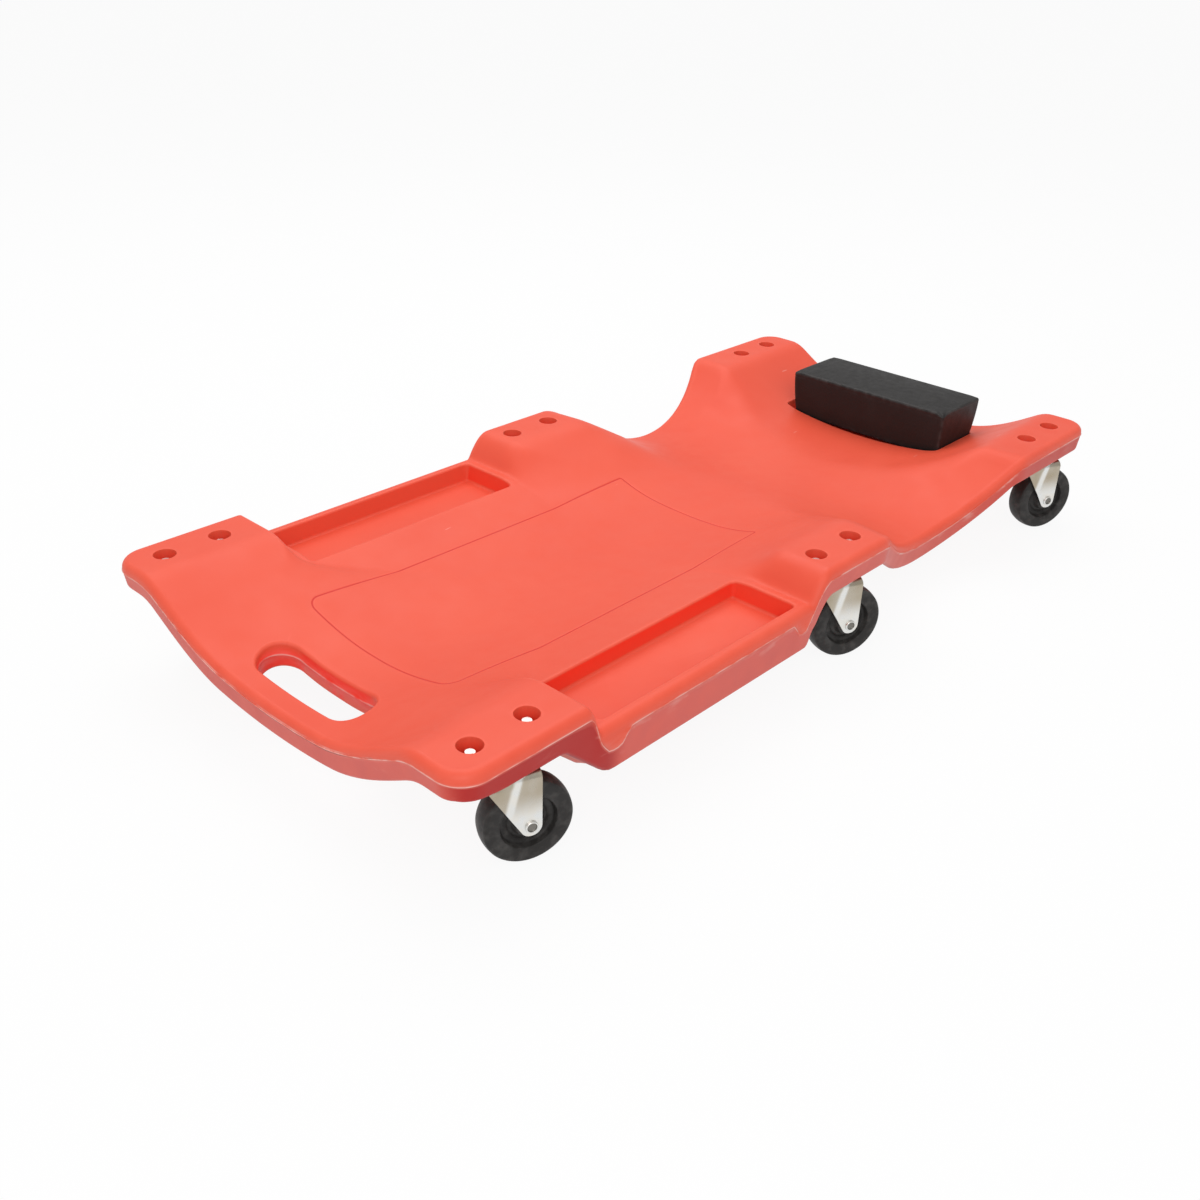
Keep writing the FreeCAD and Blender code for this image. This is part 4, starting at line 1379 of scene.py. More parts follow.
@dataclass
class Headrest:
    """The padded headrest, in millimetres: foam in a tight vinyl cover, set a little askew in its pocket."""

    low_x: Range = (378.6, 456.8)
    top_x: Range = (374.4, 466.8)
    low_y: Range = (-110.5, 98.5)
    top_y: Range = (-112.6, 103.6)
    low_z: float = 70.0
    top_z: float = 131.0
    tilt: float = 0.010
    crown: float = 2.2
    low_skew: float = -0.015
    top_skew: float = -0.037
    corner: float = 4.0
    least_corner: float = 0.8
    edge: float = 3.0
    belly: float = 0.014
    slack: float = 1.2
    cell: float = 3.0
    corner_shares: tuple[float, ...] = (0.0, 0.006, 0.022, 0.05, 0.085)
    inner_share: float = 0.87
    seam_drop: float = 5.0
    seam_half: float = 0.9
    seam_depth: float = 0.2
    seam_gap: float = 4.0
    wall_rings: int = 14
    held_edge: float = 4.0
    held_corner: float = 7.0
    held_foot: Range = (4.0, 14.0)
    pressure: float = 4.0
    stiffness: float = 40.0
    bending: float = 3.0
    frames: int = 20
    swell: float = 5.0
    folds: float = 9.0
    fold_run: Range = (1.0, 5.0)
    fold_gap: float = 0.1
    gather: float = 0.9
    gather_reach: float = 11.0
    tuck: float = 4.2
    other_tucks: float = 0.2
    tuck_reach: float = 8.0
    tuck_drop: Range = (9.0, 2.0)
    # Reach of the edge wear with its painted highlight
    rub_and_highlight_reach: float = 0.005

    @property
    def height(self) -> float:
        """Height of the pad."""
        return self.top_z - self.low_z

    def share(self, z: Array) -> Array:
        """How far up the pad a height lies, from 0 to 1."""
        return np.clip((z - self.low_z) / self.height, 0.0, 1.0)

    def skew(self, z: Array) -> Array:
        """How far the pad's sides lean along X for each millimetre across, at a height."""
        return self.low_skew + self.share(z) * (self.top_skew - self.low_skew)

    def outline(self, lines: Pair, inset: float) -> Pair:
        """Grid positions inside a rectangle of the top's size with rounded corners.

        Args:
            lines: Shares along each axis, from -1 to 1.
            inset: How far the outline is drawn in.

        Returns:
            x and y as offsets from the middle: y is a share of the half width, which the corner arcs narrow.
        """
        half_x = (self.top_x[1] - self.top_x[0]) / 2 - inset
        half_y = (self.top_y[1] - self.top_y[0]) / 2 - inset
        r = max(self.corner - inset, self.least_corner)
        x = lines[0] * half_x
        past = np.clip(np.abs(x) - half_x + r, 0.0, r)
        reach = half_y - r + np.sqrt(np.maximum(r * r - past * past, 0.0))
        return np.repeat(x[:, None], len(lines[1]), axis=1), lines[1][None, :] * reach[:, None]

    def place(self, flat: Pair, z: Array, swell: float = 0.0) -> Array:
        """Carries offsets at a height into place: scaled from the top's outline to the low one, set askew.

        Args:
            flat: Offsets from the middle of the top.
            z: Heights.
            swell: Outward bulge, as a share of the size.

        Returns:
            Points as (..., 3).
        """
        share = self.share(z)
        sizes = []
        for low, top, offset in ((self.low_x, self.top_x, flat[0]), (self.low_y, self.top_y, flat[1])):
            start = low[0] + share * (top[0] - low[0])
            end = low[1] + share * (top[1] - low[1])
            sizes.append((start + end) / 2 + offset * (end - start) / (top[1] - top[0]) * (1.0 + swell))
        x, y = sizes
        return np.stack([x + self.skew(z) * y, y, z + self.tilt * share * y], axis=-1)

    def side_ring(self, lines: Pair, inset: float, z: float) -> Array:
        """One loop round the side: the outline drawn in by an inset, bulged at mid height.

        Args:
            lines: Shares along each axis, from -1 to 1.
            inset: How far the outline is drawn in.
            z: Height of the loop.

        Returns:
            Points as (count, 3).
        """
        flat = self.outline(lines, inset)
        share = float(self.share(np.array(z)))
        placed = self.place(flat, np.full_like(flat[0], z), self.belly * 4.0 * share * (1.0 - share))
        return around(placed, whole(placed))

    def side(self, lines: Pair) -> list[Array]:
        """Loops down the side: a rounded top edge, a pressed seam, the wall, and a rounded foot.

        Args:
            lines: Shares along each axis, from -1 to 1.

        Returns:
            The loops in order.
        """
        slack, edge, half = self.slack, self.edge, self.seam_half
        top = self.top_z - slack
        seam, foot = top - self.seam_drop, self.low_z + slack + edge
        turns = quarter(5)[1:]
        steps = [(slack + edge * (1.0 - math.sin(a)), top - edge * (1.0 - math.cos(a))) for a in turns]
        steps += [(slack, seam + half), (slack + self.seam_depth, seam), (slack, seam - half)]
        steps += [(slack, float(z)) for z in np.linspace(seam - self.seam_gap, foot, self.wall_rings)]
        steps += [(slack + edge * (1.0 - math.cos(a)), foot - edge * math.sin(a)) for a in turns[:-1]]
        return [self.side_ring(lines, inset, z) for inset, z in steps]

    def cover(self) -> Piece:
        """The unstuffed cover: a crowned top panel and a flat lower one, joined by the loops of the side.

        Returns:
            The cover, closed.
        """
        counts = [math.ceil((span[1] - span[0]) / self.cell) for span in (self.top_x, self.top_y)]
        ends = np.array(self.corner_shares)
        inner = np.linspace(-self.inner_share, self.inner_share, counts[0] - len(ends) + 1)
        lines = (np.concatenate([ends - 1.0, inner, 1.0 - ends[::-1]]), np.linspace(-1.0, 1.0, counts[1]))
        flat = self.outline(lines, self.edge + self.slack)
        across, along = ((offset / offset.max()) ** 2 for offset in flat)
        rise = self.crown * (1.0 - across) * (1.0 - along ** 2)
        top = self.place(flat, np.full_like(flat[0], self.top_z - self.slack)) + rise[..., None] * UP
        low = self.place(flat, np.full_like(flat[0], self.low_z + self.slack))
        loops = [around(top, whole(top)), *self.side(lines), around(low, whole(low))]
        work = Patchwork()
        work.grid(top)
        work.grid(low)
        work.grid(np.stack(loops), closed=True)
        return work.mesh("headrest_pad")

    def build(self, finish: Material) -> Piece:
        """Makes the cover, stuffs it, sews its details and gives it its vinyl.

        Args:
            finish: The vinyl.

        Returns:
            The headrest.
        """
        piece = self.cover()
        self.stuff(piece)
        self.sew(piece)
        # Convex edges carry wear with a painted highlight
        paint(piece, "worn_and_highlit", convexity(piece, self.rub_and_highlight_reach))
        smooth = piece.modifiers.new("cover", "SUBSURF")
        smooth.levels = smooth.render_levels = 1
        piece.data.materials.append(finish)
        return piece

    def corner_gaps(self, at: Array) -> Pair:
        """Measures how far points lie inside the top's outline.

        Args:
            at: Points in millimetres.

        Returns:
            Distances along X and across it, from the nearer edges.
        """
        x = at[:, 0] - self.skew(at[:, 2]) * at[:, 1]
        gap_x = np.minimum(x - self.top_x[0], self.top_x[1] - x)
        return gap_x, np.minimum(at[:, 1] - self.top_y[0], self.top_y[1] - at[:, 1])

    def sewn(self, at: Array) -> Array:
        """How firmly each point is held by the sewn edges: bell curves of the distance from each of them.

        Args:
            at: Points in millimetres.

        Returns:
            1 on the top edge, the upright corners and the foot, falling to 0 on the panels.
        """
        gap_x, gap_y = self.corner_gaps(at)
        z = at[:, 2] - self.tilt * at[:, 1]
        edge = bell(z - self.top_z + self.edge, self.held_edge)
        corner = bell(np.maximum(gap_x, gap_y), self.held_corner)
        wall = np.minimum(gap_x, gap_y) < self.edge + 2.0 * self.slack
        foot = 1.0 - ease(z - self.low_z, *self.held_foot)
        return np.clip(np.where(wall, np.maximum(edge, corner), 0.0) + foot, 0.0, 1.0)

    def stuff(self, piece: Piece) -> None:
        """Swells the cover by a short pressure simulation, held at its sewn edges and capped to its space.

        Args:
            piece: The cover.
        """
        before = coordinates(piece)
        group = piece.vertex_groups.new(name="sewn")
        levels = np.round(self.sewn(before / MM), 1)
        for level in np.unique(levels):
            group.add(np.flatnonzero(levels == level).tolist(), float(level), "REPLACE")
        cloth = piece.modifiers.new("stuffing", "CLOTH")
        cloth.settings.vertex_group_mass = group.name
        cloth.settings.use_pressure = True
        cloth.settings.uniform_pressure_force = self.pressure
        cloth.settings.effector_weights.gravity = 0.0
        cloth.settings.tension_stiffness = self.stiffness
        cloth.settings.compression_stiffness = self.stiffness
        cloth.settings.bending_stiffness = self.bending
        for number in range(1, self.frames + 1):
            bpy.context.scene.frame_set(number)
        swollen = piece.evaluated_get(bpy.context.evaluated_depsgraph_get())
        move = coordinates(swollen) - before
        piece.modifiers.remove(cloth)
        piece.vertex_groups.clear()
        bpy.context.scene.frame_set(1)
        length = np.linalg.norm(move, axis=1, keepdims=True)
        move *= np.minimum(1.0, self.swell * MM / np.maximum(length, 1e-9))
        LOG.info("headrest swelled by up to %.1f mm", float(np.linalg.norm(move, axis=1).max()) / MM)
        piece.data.vertices.foreach_set("co", (before + move).ravel())
        piece.data.update()

    def sew(self, piece: Piece) -> None:
        """Presses the gathers in after stuffing: each upper corner is tucked down in a fan of folds.

        The drop is a bell of the distance from the corner, less a wider bell times a cosine of the angle.

        Args:
            piece: The stuffed cover.
        """
        at = coordinates(piece) / MM
        gap_x, gap_y = self.corner_gaps(at)
        away = np.hypot(np.maximum(gap_x, 0.0), np.maximum(gap_y, 0.0))
        fan = np.cos(self.folds * np.arctan2(gap_y, gap_x + self.fold_gap)) * ease(away, *self.fold_run)
        drop = self.tuck * bell(away, self.tuck_reach) - self.gather * fan * bell(away, self.gather_reach)
        nearest = (at[:, 0] < sum(self.top_x) / 2) & (at[:, 1] < 0.0)
        drop = drop * np.where(nearest, 1.0, self.other_tucks)
        low, high = (self.top_z - gap for gap in self.tuck_drop)
        at[:, 2] -= drop * ease(at[:, 2], low, high)
        piece.data.vertices.foreach_set("co", (at * MM).ravel())
        piece.data.update()


# Casters

@dataclass(frozen=True)
class CasterPlace:
    """Where one caster stands, in millimetres: its swivel's axis, wheel's centre and axle's direction."""

    name: str
    swivel: Array
    wheel: Array
    axle: Array

    @staticmethod
    def found(joints: list[dict]) -> list["CasterPlace"]:
        """Finds every caster from the names and places of its two joints.

        Args:
            joints: The record's joints.

        Returns:
            The casters, in the order of their wheels.
        """
        turns, rolls = (
            {j["name"].removesuffix(ending): j for j in joints if j["name"].endswith(ending)}
            for ending in ("_swivel_turn", "_wheel_roll")
        )
        places = []
        for name, roll in rolls.items():
            swivel, wheel = (np.array(joint["pos_m"]) / MM for joint in (turns[name], roll))
            places.append(CasterPlace(name, swivel, wheel, np.array(roll["axis"])))
        return places

    @property
    def trail(self) -> float:
        """How far the wheel's centre trails the swivel's axis in plan."""
        return float(np.linalg.norm((self.wheel - self.swivel)[:2]))

    @property
    def ahead(self) -> Array:
        """The unit direction in plan from the swivel's axis to the wheel's centre."""
        return (self.wheel - self.swivel) * LEVEL / self.trail

    def carry(self, local: Array) -> Array:
        """Carries points into place.

        Args:
            local: Points as (..., 3): along the trail and along the axle from the swivel's axis, and height.

        Returns:
            The points in the deck's frame.
        """
        along, across, z = local[..., :1], local[..., 1:2], local[..., 2:]
        return self.swivel * LEVEL + along * self.ahead + across * self.axle + z * UP

    def turned(self, section: Array, count: int) -> Array:
        """Carries a section round a full circle about the axle.

        Args:
            section: Points of (along the axle, radius).
            count: Steps round the circle.

        Returns:
            Points as (section, count, 3).
        """
        angle = np.linspace(0.0, 2 * math.pi, count, endpoint=False)
        along = self.trail + section[:, 1:] * np.cos(angle)
        z = self.wheel[2] + section[:, 1:] * np.sin(angle)
        return self.carry(np.stack([along, np.broadcast_to(section[:, :1], z.shape), z], axis=-1))


@dataclass
class CasterWheel:
    """One wheel, in millimetres: a crowned tread, a flat face ring and a deep well round a proud hub."""

    radius: float = 38.5
    half: float = 10.4
    crown: float = 1.1
    shoulder: float = 2.2
    face_r: float = 34.5
    well_r: float = 24.0
    well_depth: float = 6.5
    web_r: float = 17.5
    hub_r: float = 11.0
    hub_half: float = 12.0
    bore_r: float = 6.1
    around: int = 96

    def profile(self) -> Array:
        """The closed section from the bore out over the tread and back.

        The tread falls with the square of the distance from its middle, and its shoulder is a quarter of an
        ellipse. The well's edges and the hub's are eased by a few points beside each corner.

        Returns:
            Points of (along the axle, radius).
        """
        tread = np.linspace(-1.0, 1.0, 13)
        edge_r = self.radius - self.crown
        side = self.half - self.shoulder
        crown = np.stack([tread * side, self.radius - self.crown * tread ** 2], axis=1)
        turn = np.linspace(0.15, 1.0, 5) * math.pi / 2
        fall = (edge_r - self.face_r) * (1.0 - np.cos(turn))
        shoulder = np.stack([side + self.shoulder * np.sin(turn), edge_r - fall], axis=1)
        face, floor = self.half, self.half - self.well_depth
        well, web, hub, hub_half = self.well_r, self.web_r, self.hub_r, self.hub_half
        dish = np.array([
            (face, well + 1.0), (face - 0.4, well + 0.2), (face - 1.2, well - 0.3),
            (floor + 1.6, well - 1.0), (floor + 0.4, well - 1.8), (floor, well - 3.0),
            (floor, web), (floor + 0.8, web - 0.7), (floor + 1.4, web - 1.5), (floor + 1.6, web - 3.0),
            (floor + 2.2, web - 4.3), (hub_half - 1.2, hub + 0.5), (hub_half - 0.3, hub),
            (hub_half, hub - 0.8), (hub_half, self.bore_r + 0.5), (hub_half - 0.5, self.bore_r),
        ])
        right = np.concatenate([shoulder, dish])
        left = right[::-1] * np.array([-1.0, 1.0])
        return np.concatenate([left, crown, right])

    def build(self, place: CasterPlace, finish: Material) -> Piece:
        """Turns the section about the axle and gives the wheel its finish.

        Args:
            place: Where the caster stands.
            finish: The wheel's plastic.

        Returns:
            The wheel.
        """
        rows = place.turned(self.profile(), self.around)
        work = Patchwork()
        work.grid(np.concatenate([rows, rows[:1]]), closed=True)
        piece = work.mesh(f"{place.name}_tread")
        piece.data.materials.append(finish)
        return piece


@dataclass
class AxleRivet:
    """A riveted axle, in millimetres: a shank with a domed head at each end, peened hollow in the middle."""

    shank_r: float = 4.0
    head_r: float = 5.5
    grip: float = 14.9
    rise: float = 1.9
    edge: float = 0.3
    hollow_r: float = 3.9
    hollow_depth: float = 1.4
    hollow_edge: float = 0.5
    hollow_margin: float = 0.1
    around: int = 40

    def profile(self) -> Array:
        """The section from the middle of one head to the middle of the other: a cup inside a quarter ellipse.

        Returns:
            Points of (along the axle, radius).
        """
        end, rim_r = self.grip + self.rise, self.hollow_r + self.hollow_edge
        turn = quarter(6)
        across = self.grip + self.edge + (self.rise - self.edge) * np.cos(turn)
        dome = np.stack([across, rim_r + (self.head_r - rim_r) * np.sin(turn)], axis=1)
        floor = end - self.hollow_depth
        cup = np.array([
            (floor, 0.0), (floor, self.hollow_r - self.hollow_edge),
            (floor + self.edge, self.hollow_r), (end - self.edge, self.hollow_r),
        ])
        head = np.concatenate([cup, dome, [(self.grip, self.head_r), (self.grip, self.shank_r)]])
        return np.concatenate([head * np.array([-1.0, 1.0]), head[::-1]])

    def build(self, place: CasterPlace, finish: Material) -> Piece:
        """Turns the section about the axle, paints shade into the hollows and gives the rivet its finish.

        Args:
            place: Where the caster stands.
            finish: The rivet's steel.

        Returns:
            The rivet.
        """
        work = Patchwork()
        work.grid(place.turned(self.profile(), self.around), closed=True)
        piece = work.mesh(f"{place.name}_rivet")
        at = coordinates(piece) / MM - place.wheel
        across = at @ place.axle
        radius = np.linalg.norm(at - across[:, None] * place.axle, axis=1)
        # Painted shade in the peened hollows
        inside = (np.abs(across) > self.grip) & (radius < self.hollow_r + self.hollow_margin)
        paint(piece, "hollow", np.where(inside, 1.0, 0.0))
        piece.data.materials.append(finish)
        return piece


@dataclass
class CasterFork:
    """One pressed fork, in millimetres from the swivel's axis: a web and two legs bent from one strip."""

    top_z: float = 88.4
    half: float = 14.9
    thick: float = 2.4
    bend_r: float = 7.2
    lead_x: float = -18.0
    shoulder_z: float = 78.0
    eye_r: float = 9.0
    eye_zone: Range = (3.0, 0.4)
    pivot_r: float = 5.4
    pivot_block: float = 7.0
    fold_x: float = 1.8
    fold_z: float = 56.0
    fold_lean: float = 0.25
    fold_step: float = 1.0
    fold_band: float = 6.0
    fold_end: float = 5.0
    wing_lean: float = 0.10
    wing_blur: float = 1.5
    plate_blur: Range = (-1.5, 0.5)
    # Heights over which the legs darken with a stain and painted shade
    stain_and_shade_z: Range = (46.0, 72.0)
    edge: float = 0.6
    cell: float = 1.2

    @property
    def bend_z(self) -> float:
        """Where the legs turn over into the web."""
        return self.top_z - self.bend_r

    def path(self, foot_z: float) -> Pair:
        """The strip's outer face from one eye over the web to the other.

        Args:
            foot_z: Height of the eyes' lowest points.

        Returns:
            Stations and outward normals, each as (count, 2) of across and height: up, round a bend, level.
        """
        reach, step = self.eye_zone
        leg = graded([foot_z, self.bend_z], self.cell, [(foot_z, foot_z + reach, step)])
        turn = quarter(9)[1:]
        centre = self.half - self.bend_r
        level = graded([0.0, self.pivot_block, centre], self.cell, [])[-2::-1]
        bend = self.bend_z + self.bend_r * np.sin(turn)
        across = np.concatenate([np.full_like(leg, self.half), centre + self.bend_r * np.cos(turn), level])
        height = np.concatenate([leg, bend, np.full_like(level, self.top_z)])
        angle = np.concatenate([np.zeros_like(leg), turn, np.full_like(level, math.pi / 2)])
        one = np.stack([across, height], axis=1)
        out = np.stack([np.cos(angle), np.sin(angle)], axis=1)
        other = np.array([-1.0, 1.0])
        return np.concatenate([one, one[-2::-1] * other]), np.concatenate([out, out[-2::-1] * other])

    def edges(self, place: CasterPlace, z: Array) -> Pair:
        """The strip's edges: lines that touch the circle of the eye, and that circle below them.

        Args:
            place: Where the caster stands.
            z: Heights.

        Returns:
            The leading and the rear edge at each height.
        """
        trail, axle_z, r = place.trail, place.wheel[2], self.eye_r
        dx, dz = trail - self.lead_x, axle_z - self.shoulder_z
        square = dx * dx + dz * dz
        along, across = (square - r * r) / square, r * math.sqrt(square - r * r) / square
        touch_x = self.lead_x + along * dx + across * dz
        touch_z = self.shoulder_z + along * dz - across * dx
        below = np.sqrt(np.maximum(r * r - np.minimum(z - axle_z, 0.0) ** 2, 0.0))
        lead = np.interp(z, [touch_z, self.shoulder_z], [touch_x, self.lead_x])
        return np.where(z < touch_z, trail - below, lead), trail + below

    def past_fold(self, x: Array, z: Array) -> Array:
        """How far a point of a leg lies on the leading side of the pressed fold."""
        return self.fold_x + (z - self.fold_z) * self.fold_lean - x

    def pressed(self, x: Array, z: Array) -> Array:
        """How far the leading wing is pressed in: a step across the fold, then a lean, gone at the bend.

        Args:
            x: Positions along the trail.
            z: Heights.

        Returns:
            Depths below the strip's outer face.
        """
        past = self.past_fold(x, z)
        depth = self.fold_step * ease(past, 0.0, self.fold_band)
        depth = depth + self.wing_lean * np.maximum(past - self.fold_band, 0.0)
        return depth * (1.0 - ease(z, self.bend_z - self.fold_end, self.bend_z))

    def build(self, place: CasterPlace, finish: Material) -> Piece:
        """Builds the sheet's two faces, its cut edges and the swivel's hole; stains and paints shade on its
        upper parts.

        Args:
            place: Where the caster stands.
            finish: The fork's steel.

        Returns:
            The fork.
        """
        at, out = self.path(place.wheel[2] - self.eye_r)
        lead, rear = self.edges(place, np.minimum(at[:, 1], self.bend_z))
        block, width = self.pivot_block, rear.max() - self.lead_x
        stops = [self.lead_x, self.lead_x + self.edge, -block, block, rear.max() - self.edge, rear.max()]
        lines = graded(stops, self.cell, [])
        x = lead[:, None] + (lines[None] - self.lead_x) / width * (rear - lead)[:, None]
        depth = self.pressed(x, np.broadcast_to(at[:, 1:], x.shape))
        outer, inner = (
            np.concatenate([x[..., None], at[:, None] - (depth + below)[..., None] * out[:, None]], axis=-1)
            for below in (0.0, self.thick)
        )
        level = np.isclose(at[:, 1], self.top_z)
        rows = np.flatnonzero(level & (np.abs(at[:, 0]) < block + LINE_GAP / 2))
        columns = [int(np.argmin(np.abs(lines - end * block))) for end in (-1, 1)]
        span = (int(rows[0]), int(rows[-1]), columns[0], columns[1])
        keep = outside(x.shape, [span])
        work = Patchwork()
        for face in (outer, inner):
            work.grid(place.carry(face), keep=keep)
        for column in (0, -1):
            work.grid(place.carry(np.stack([outer[:, column], inner[:, column]])))
        work.grid(place.carry(self.pivot(around(outer, span), around(inner, span))), closed=True)
        piece = work.mesh(f"{place.name}_yoke")
        self.stain_and_shade(piece, place)
        piece.data.materials.append(finish)
        return piece

    def pivot(self, outer: Array, inner: Array) -> Array:
        """The swivel's hole: from a block of the outer face to a circle, then through to the inner face.

        Args:
            outer: Loop round the block of the outer face.
            inner: Loop round the block of the inner face.

        Returns:
            Rings as (4, count, 3).
        """
        circle = outer * LEVEL * self.pivot_r / np.linalg.norm(outer[:, :2], axis=1, keepdims=True)
        return np.stack([outer, circle + outer * UP, circle + inner * UP, inner])

    def stain_and_shade(self, piece: Piece, place: CasterPlace) -> None:
        """Marks the parts with a stain and painted shade: the upper half of each leg and its pressed wing,
        not the bright fold.

        Args:
            piece: The built fork.
            place: Where the caster stands.
        """
        at = coordinates(piece) / MM
        past = self.past_fold((at - place.swivel) @ place.ahead, at[:, 2])
        wing = ease(past, self.fold_band - self.wing_blur, self.fold_band + self.wing_blur)
        plate = 1.0 - ease(past, *self.plate_blur)
        paint(piece, "toned_and_shaded", np.maximum(wing, plate * ease(at[:, 2], *self.stain_and_shade_z)))


# Set

@dataclass(frozen=True)
class Lamp:
    """A square soft light: place and aim in metres, size, power in watts and how far it mirrors."""

    name: str
    place: Triple
    aim: Triple
    size: float
    power: float
    shine: float

    def make(self) -> None:
        """Makes the light and turns it to its aim."""
        data = bpy.data.lights.new(self.name, "AREA")
        data.energy = self.power
        data.specular_factor = self.shine
        data.size = self.size
        lamp = bpy.data.objects.new(self.name, data)
        lamp.location = self.place
        lamp.rotation_euler = (Vector(self.aim) - Vector(self.place)).to_track_quat("-Z", "Y").to_euler()
        bpy.context.scene.collection.objects.link(lamp)


@dataclass(frozen=True)
class Studio:
    """Camera, pale floor and soft light."""

    eye: Triple = (-0.9648, -0.7815, 0.6652)
    yaw_deg: float = 42.186
    pitch_deg: float = -29.179
    roll_deg: float = 1.896
    focal_px: float = 1265.9
    frame_px: float = 1200.0
    sensor_mm: float = 36.0
    clip: Range = (0.01, 50.0)
    floor_half: float = 60000.0
    floor_lines: int = 7
    floor_z: float = -0.3
    floor_tones: tuple[Colour, Colour] = ((0.80, 0.80, 0.80), (0.82, 0.82, 0.82))
    floor_roughness: float = 0.9
    floor_white: float = 0.92
    surround: float = 0.60
    lamps: tuple[Lamp, ...] = (
        Lamp("key", (0.4, 0.7, 2.1), (-0.1, -0.1, 0.0), size=2.2, power=29.5, shine=1.0),
        Lamp("fill", (-1.8, -1.7, 1.8), (0.0, 0.0, 0.1), size=2.0, power=29.0, shine=0.3),
    )

    def camera(self) -> None:
        """Makes the camera at the photograph's place and angle."""
        yaw, pitch, roll = (math.radians(v) for v in (self.yaw_deg, self.pitch_deg, self.roll_deg))
        ahead = Vector((math.cos(pitch) * math.cos(yaw), math.cos(pitch) * math.sin(yaw), math.sin(pitch)))
        right = ahead.cross(Vector((0, 0, 1))).normalized()
        up = right.cross(ahead)
        side = right * math.cos(roll) + up * math.sin(roll)
        over = up * math.cos(roll) - right * math.sin(roll)
        data = bpy.data.cameras.new("camera")
        data.sensor_width = self.sensor_mm
        data.lens = self.focal_px / self.frame_px * self.sensor_mm
        data.clip_start, data.clip_end = self.clip
        camera = bpy.data.objects.new("camera", data)
        camera.matrix_world = Matrix((
            (side.x, over.x, -ahead.x, self.eye[0]), (side.y, over.y, -ahead.y, self.eye[1]),
            (side.z, over.z, -ahead.z, self.eye[2]), (0, 0, 0, 1),
        ))
        bpy.context.scene.collection.objects.link(camera)
        bpy.context.scene.camera = camera

    def floor(self) -> None:
        """Makes the pale floor: white to the camera and in mirrors, with a faint shadow kept on it."""
        work = Patchwork()
        line = np.linspace(-self.floor_half, self.floor_half, self.floor_lines)
        x, y = np.meshgrid(line, line, indexing="ij")
        work.grid(np.stack([x, y, np.full_like(x, self.floor_z)], axis=-1))
        piece = work.mesh("floor")
        piece.data.materials.append(self.floor_paint())

    def floor_paint(self) -> Material:
        """Mixes a white glow into the paint, where the camera or a mirror sees it.

        Returns:
            The finished material.
        """
        s = Shader("floor_paint")
        s.feed("Base Color", s.mix(s.ramp(s.noise(Noise.CLOUD), *SPREAD), *self.floor_tones))
        s.hold("Roughness", self.floor_roughness)
        path = s.add("ShaderNodeLightPath")
        seen = s.add("ShaderNodeMath", operation="MAXIMUM")
        s.link(path.outputs["Is Camera Ray"], seen.inputs[0])
        s.link(path.outputs["Is Glossy Ray"], seen.inputs[1])
        glow = s.add("ShaderNodeEmission")
        glow.inputs["Strength"].default_value = 1.0
        blend = s.add("ShaderNodeMixShader")
        s.link(s.ramp(seen.outputs[0], 0.0, 1.0, end=self.floor_white), blend.inputs["Fac"])
        s.link(s.surface.outputs["BSDF"], blend.inputs[1])
        s.link(glow.outputs["Emission"], blend.inputs[2])
        s.link(blend.outputs["Shader"], s.material.node_tree.nodes["Material Output"].inputs["Surface"])
        return s.material

    def light(self) -> None:
        """Makes a white surround, white at full strength to the camera, and two broad soft lights."""
        world = bpy.data.worlds.new("surround")
        bpy.context.scene.world = world
        world.use_nodes = True
        tree = world.node_tree
        dome = tree.nodes["Background"]
        dome.inputs["Color"].default_value = (1.0, 1.0, 1.0, 1.0)
        path = tree.nodes.new("ShaderNodeLightPath")
        level = tree.nodes.new("ShaderNodeMapRange")
        level.inputs["To Min"].default_value = self.surround
        level.inputs["To Max"].default_value = 1.0
        tree.links.new(path.outputs["Is Camera Ray"], level.inputs["Value"])
        tree.links.new(level.outputs["Result"], dome.inputs["Strength"])
        for lamp in self.lamps:
            lamp.make()
        bpy.context.scene.view_settings.view_transform = "Standard"


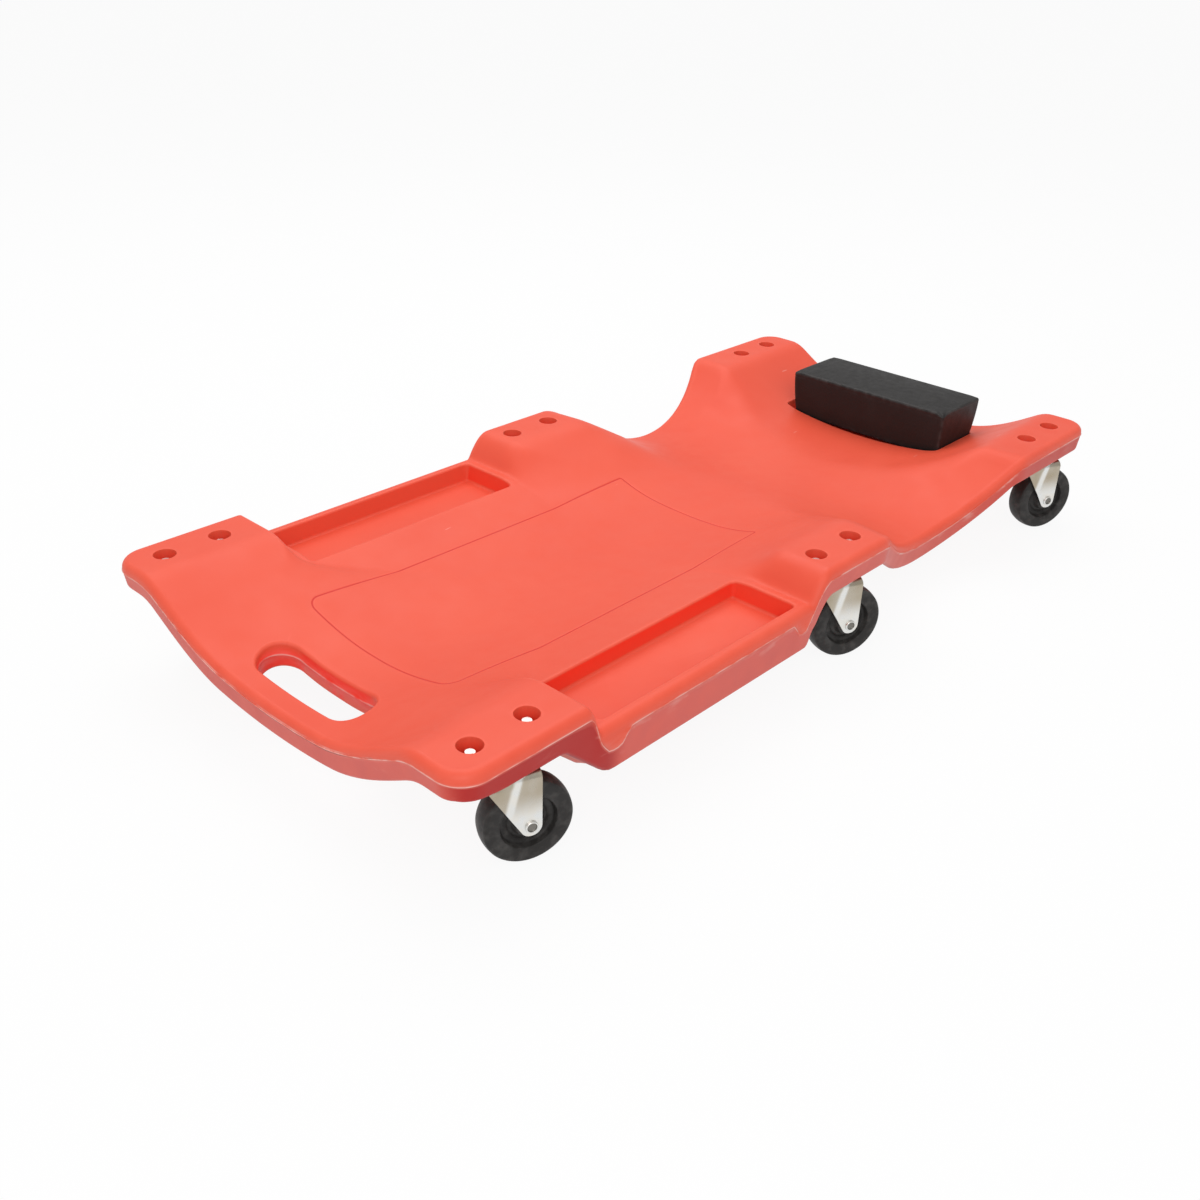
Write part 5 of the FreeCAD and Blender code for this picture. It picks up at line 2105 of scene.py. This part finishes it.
def repaint(nodes: dict[str, Piece], finish: Material, names: list[str]) -> None:
    """Gives carried-over solids their finish.

    Args:
        nodes: Every solid by name.
        finish: The finish.
        names: Which solids get it.
    """
    for name in names:
        slots = nodes[name].data.materials
        slots.clear()
        slots.append(finish)


def show(piece: Piece, body: str, slot: str, *nodes: str) -> None:
    """Puts a finished piece on its body in place of the solids it stands for.

    Args:
        piece: The piece.
        body: The body that carries it.
        slot: Name of its finish; not used.
        *nodes: The solids it stands for.
    """
    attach(piece, body)
    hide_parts(*nodes)
    LOG.info("%s on %s for %s: %d faces", piece.name, body, ", ".join(nodes), len(piece.data.polygons))


def main() -> None:
    """Builds the creeper's pieces in order and sets the stage."""
    logging.basicConfig(level=logging.INFO, format="%(message)s")
    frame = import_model()
    nodes = frame["nodes"]

    deck = Deck()
    skin = deck.build()
    deck.dress(skin, DeckPlastic())
    show(skin, "deck", "deck_plastic", "deck_shell")

    pad = Headrest().build(Vinyl().make())
    show(pad, "deck", "headrest_vinyl", "headrest_cushion")

    plastic, zinc = WheelPlastic().make(), ZincSteel().make()
    for place in CasterPlace.found(frame["record"]["behaviour"]["joints"]):
        name, swivel = place.name, f"{place.name}_swivel"
        show(CasterWheel().build(place, plastic), f"{name}_roller", "wheel_plastic", f"{name}_wheel")
        show(CasterFork().build(place, zinc), swivel, "zinc_steel", f"{name}_fork")
        show(AxleRivet().build(place, zinc), swivel, "zinc_steel", f"{name}_axle")

    bright = ("_plate", "_balls", "_kingpin", "_bush", "_bolts", "_screws")
    repaint(nodes, zinc, [n for n in nodes if n.endswith(bright)])
    # Dark zinc on the nuts and washers in the counterbores is painted shade
    nut_shade = ZincSteel("nut_shade_zinc", body=(0.20, 0.19, 0.18), warm=(0.26, 0.23, 0.19), roughness=(0.36, 0.54))
    repaint(nodes, nut_shade.make(), ["caster_nuts", "caster_washers"])
    repaint(nodes, Plywood().make(), ["headrest_board"])

    studio = Studio()
    studio.camera()
    studio.floor()
    studio.light()


if __name__ == "__main__":
    main()
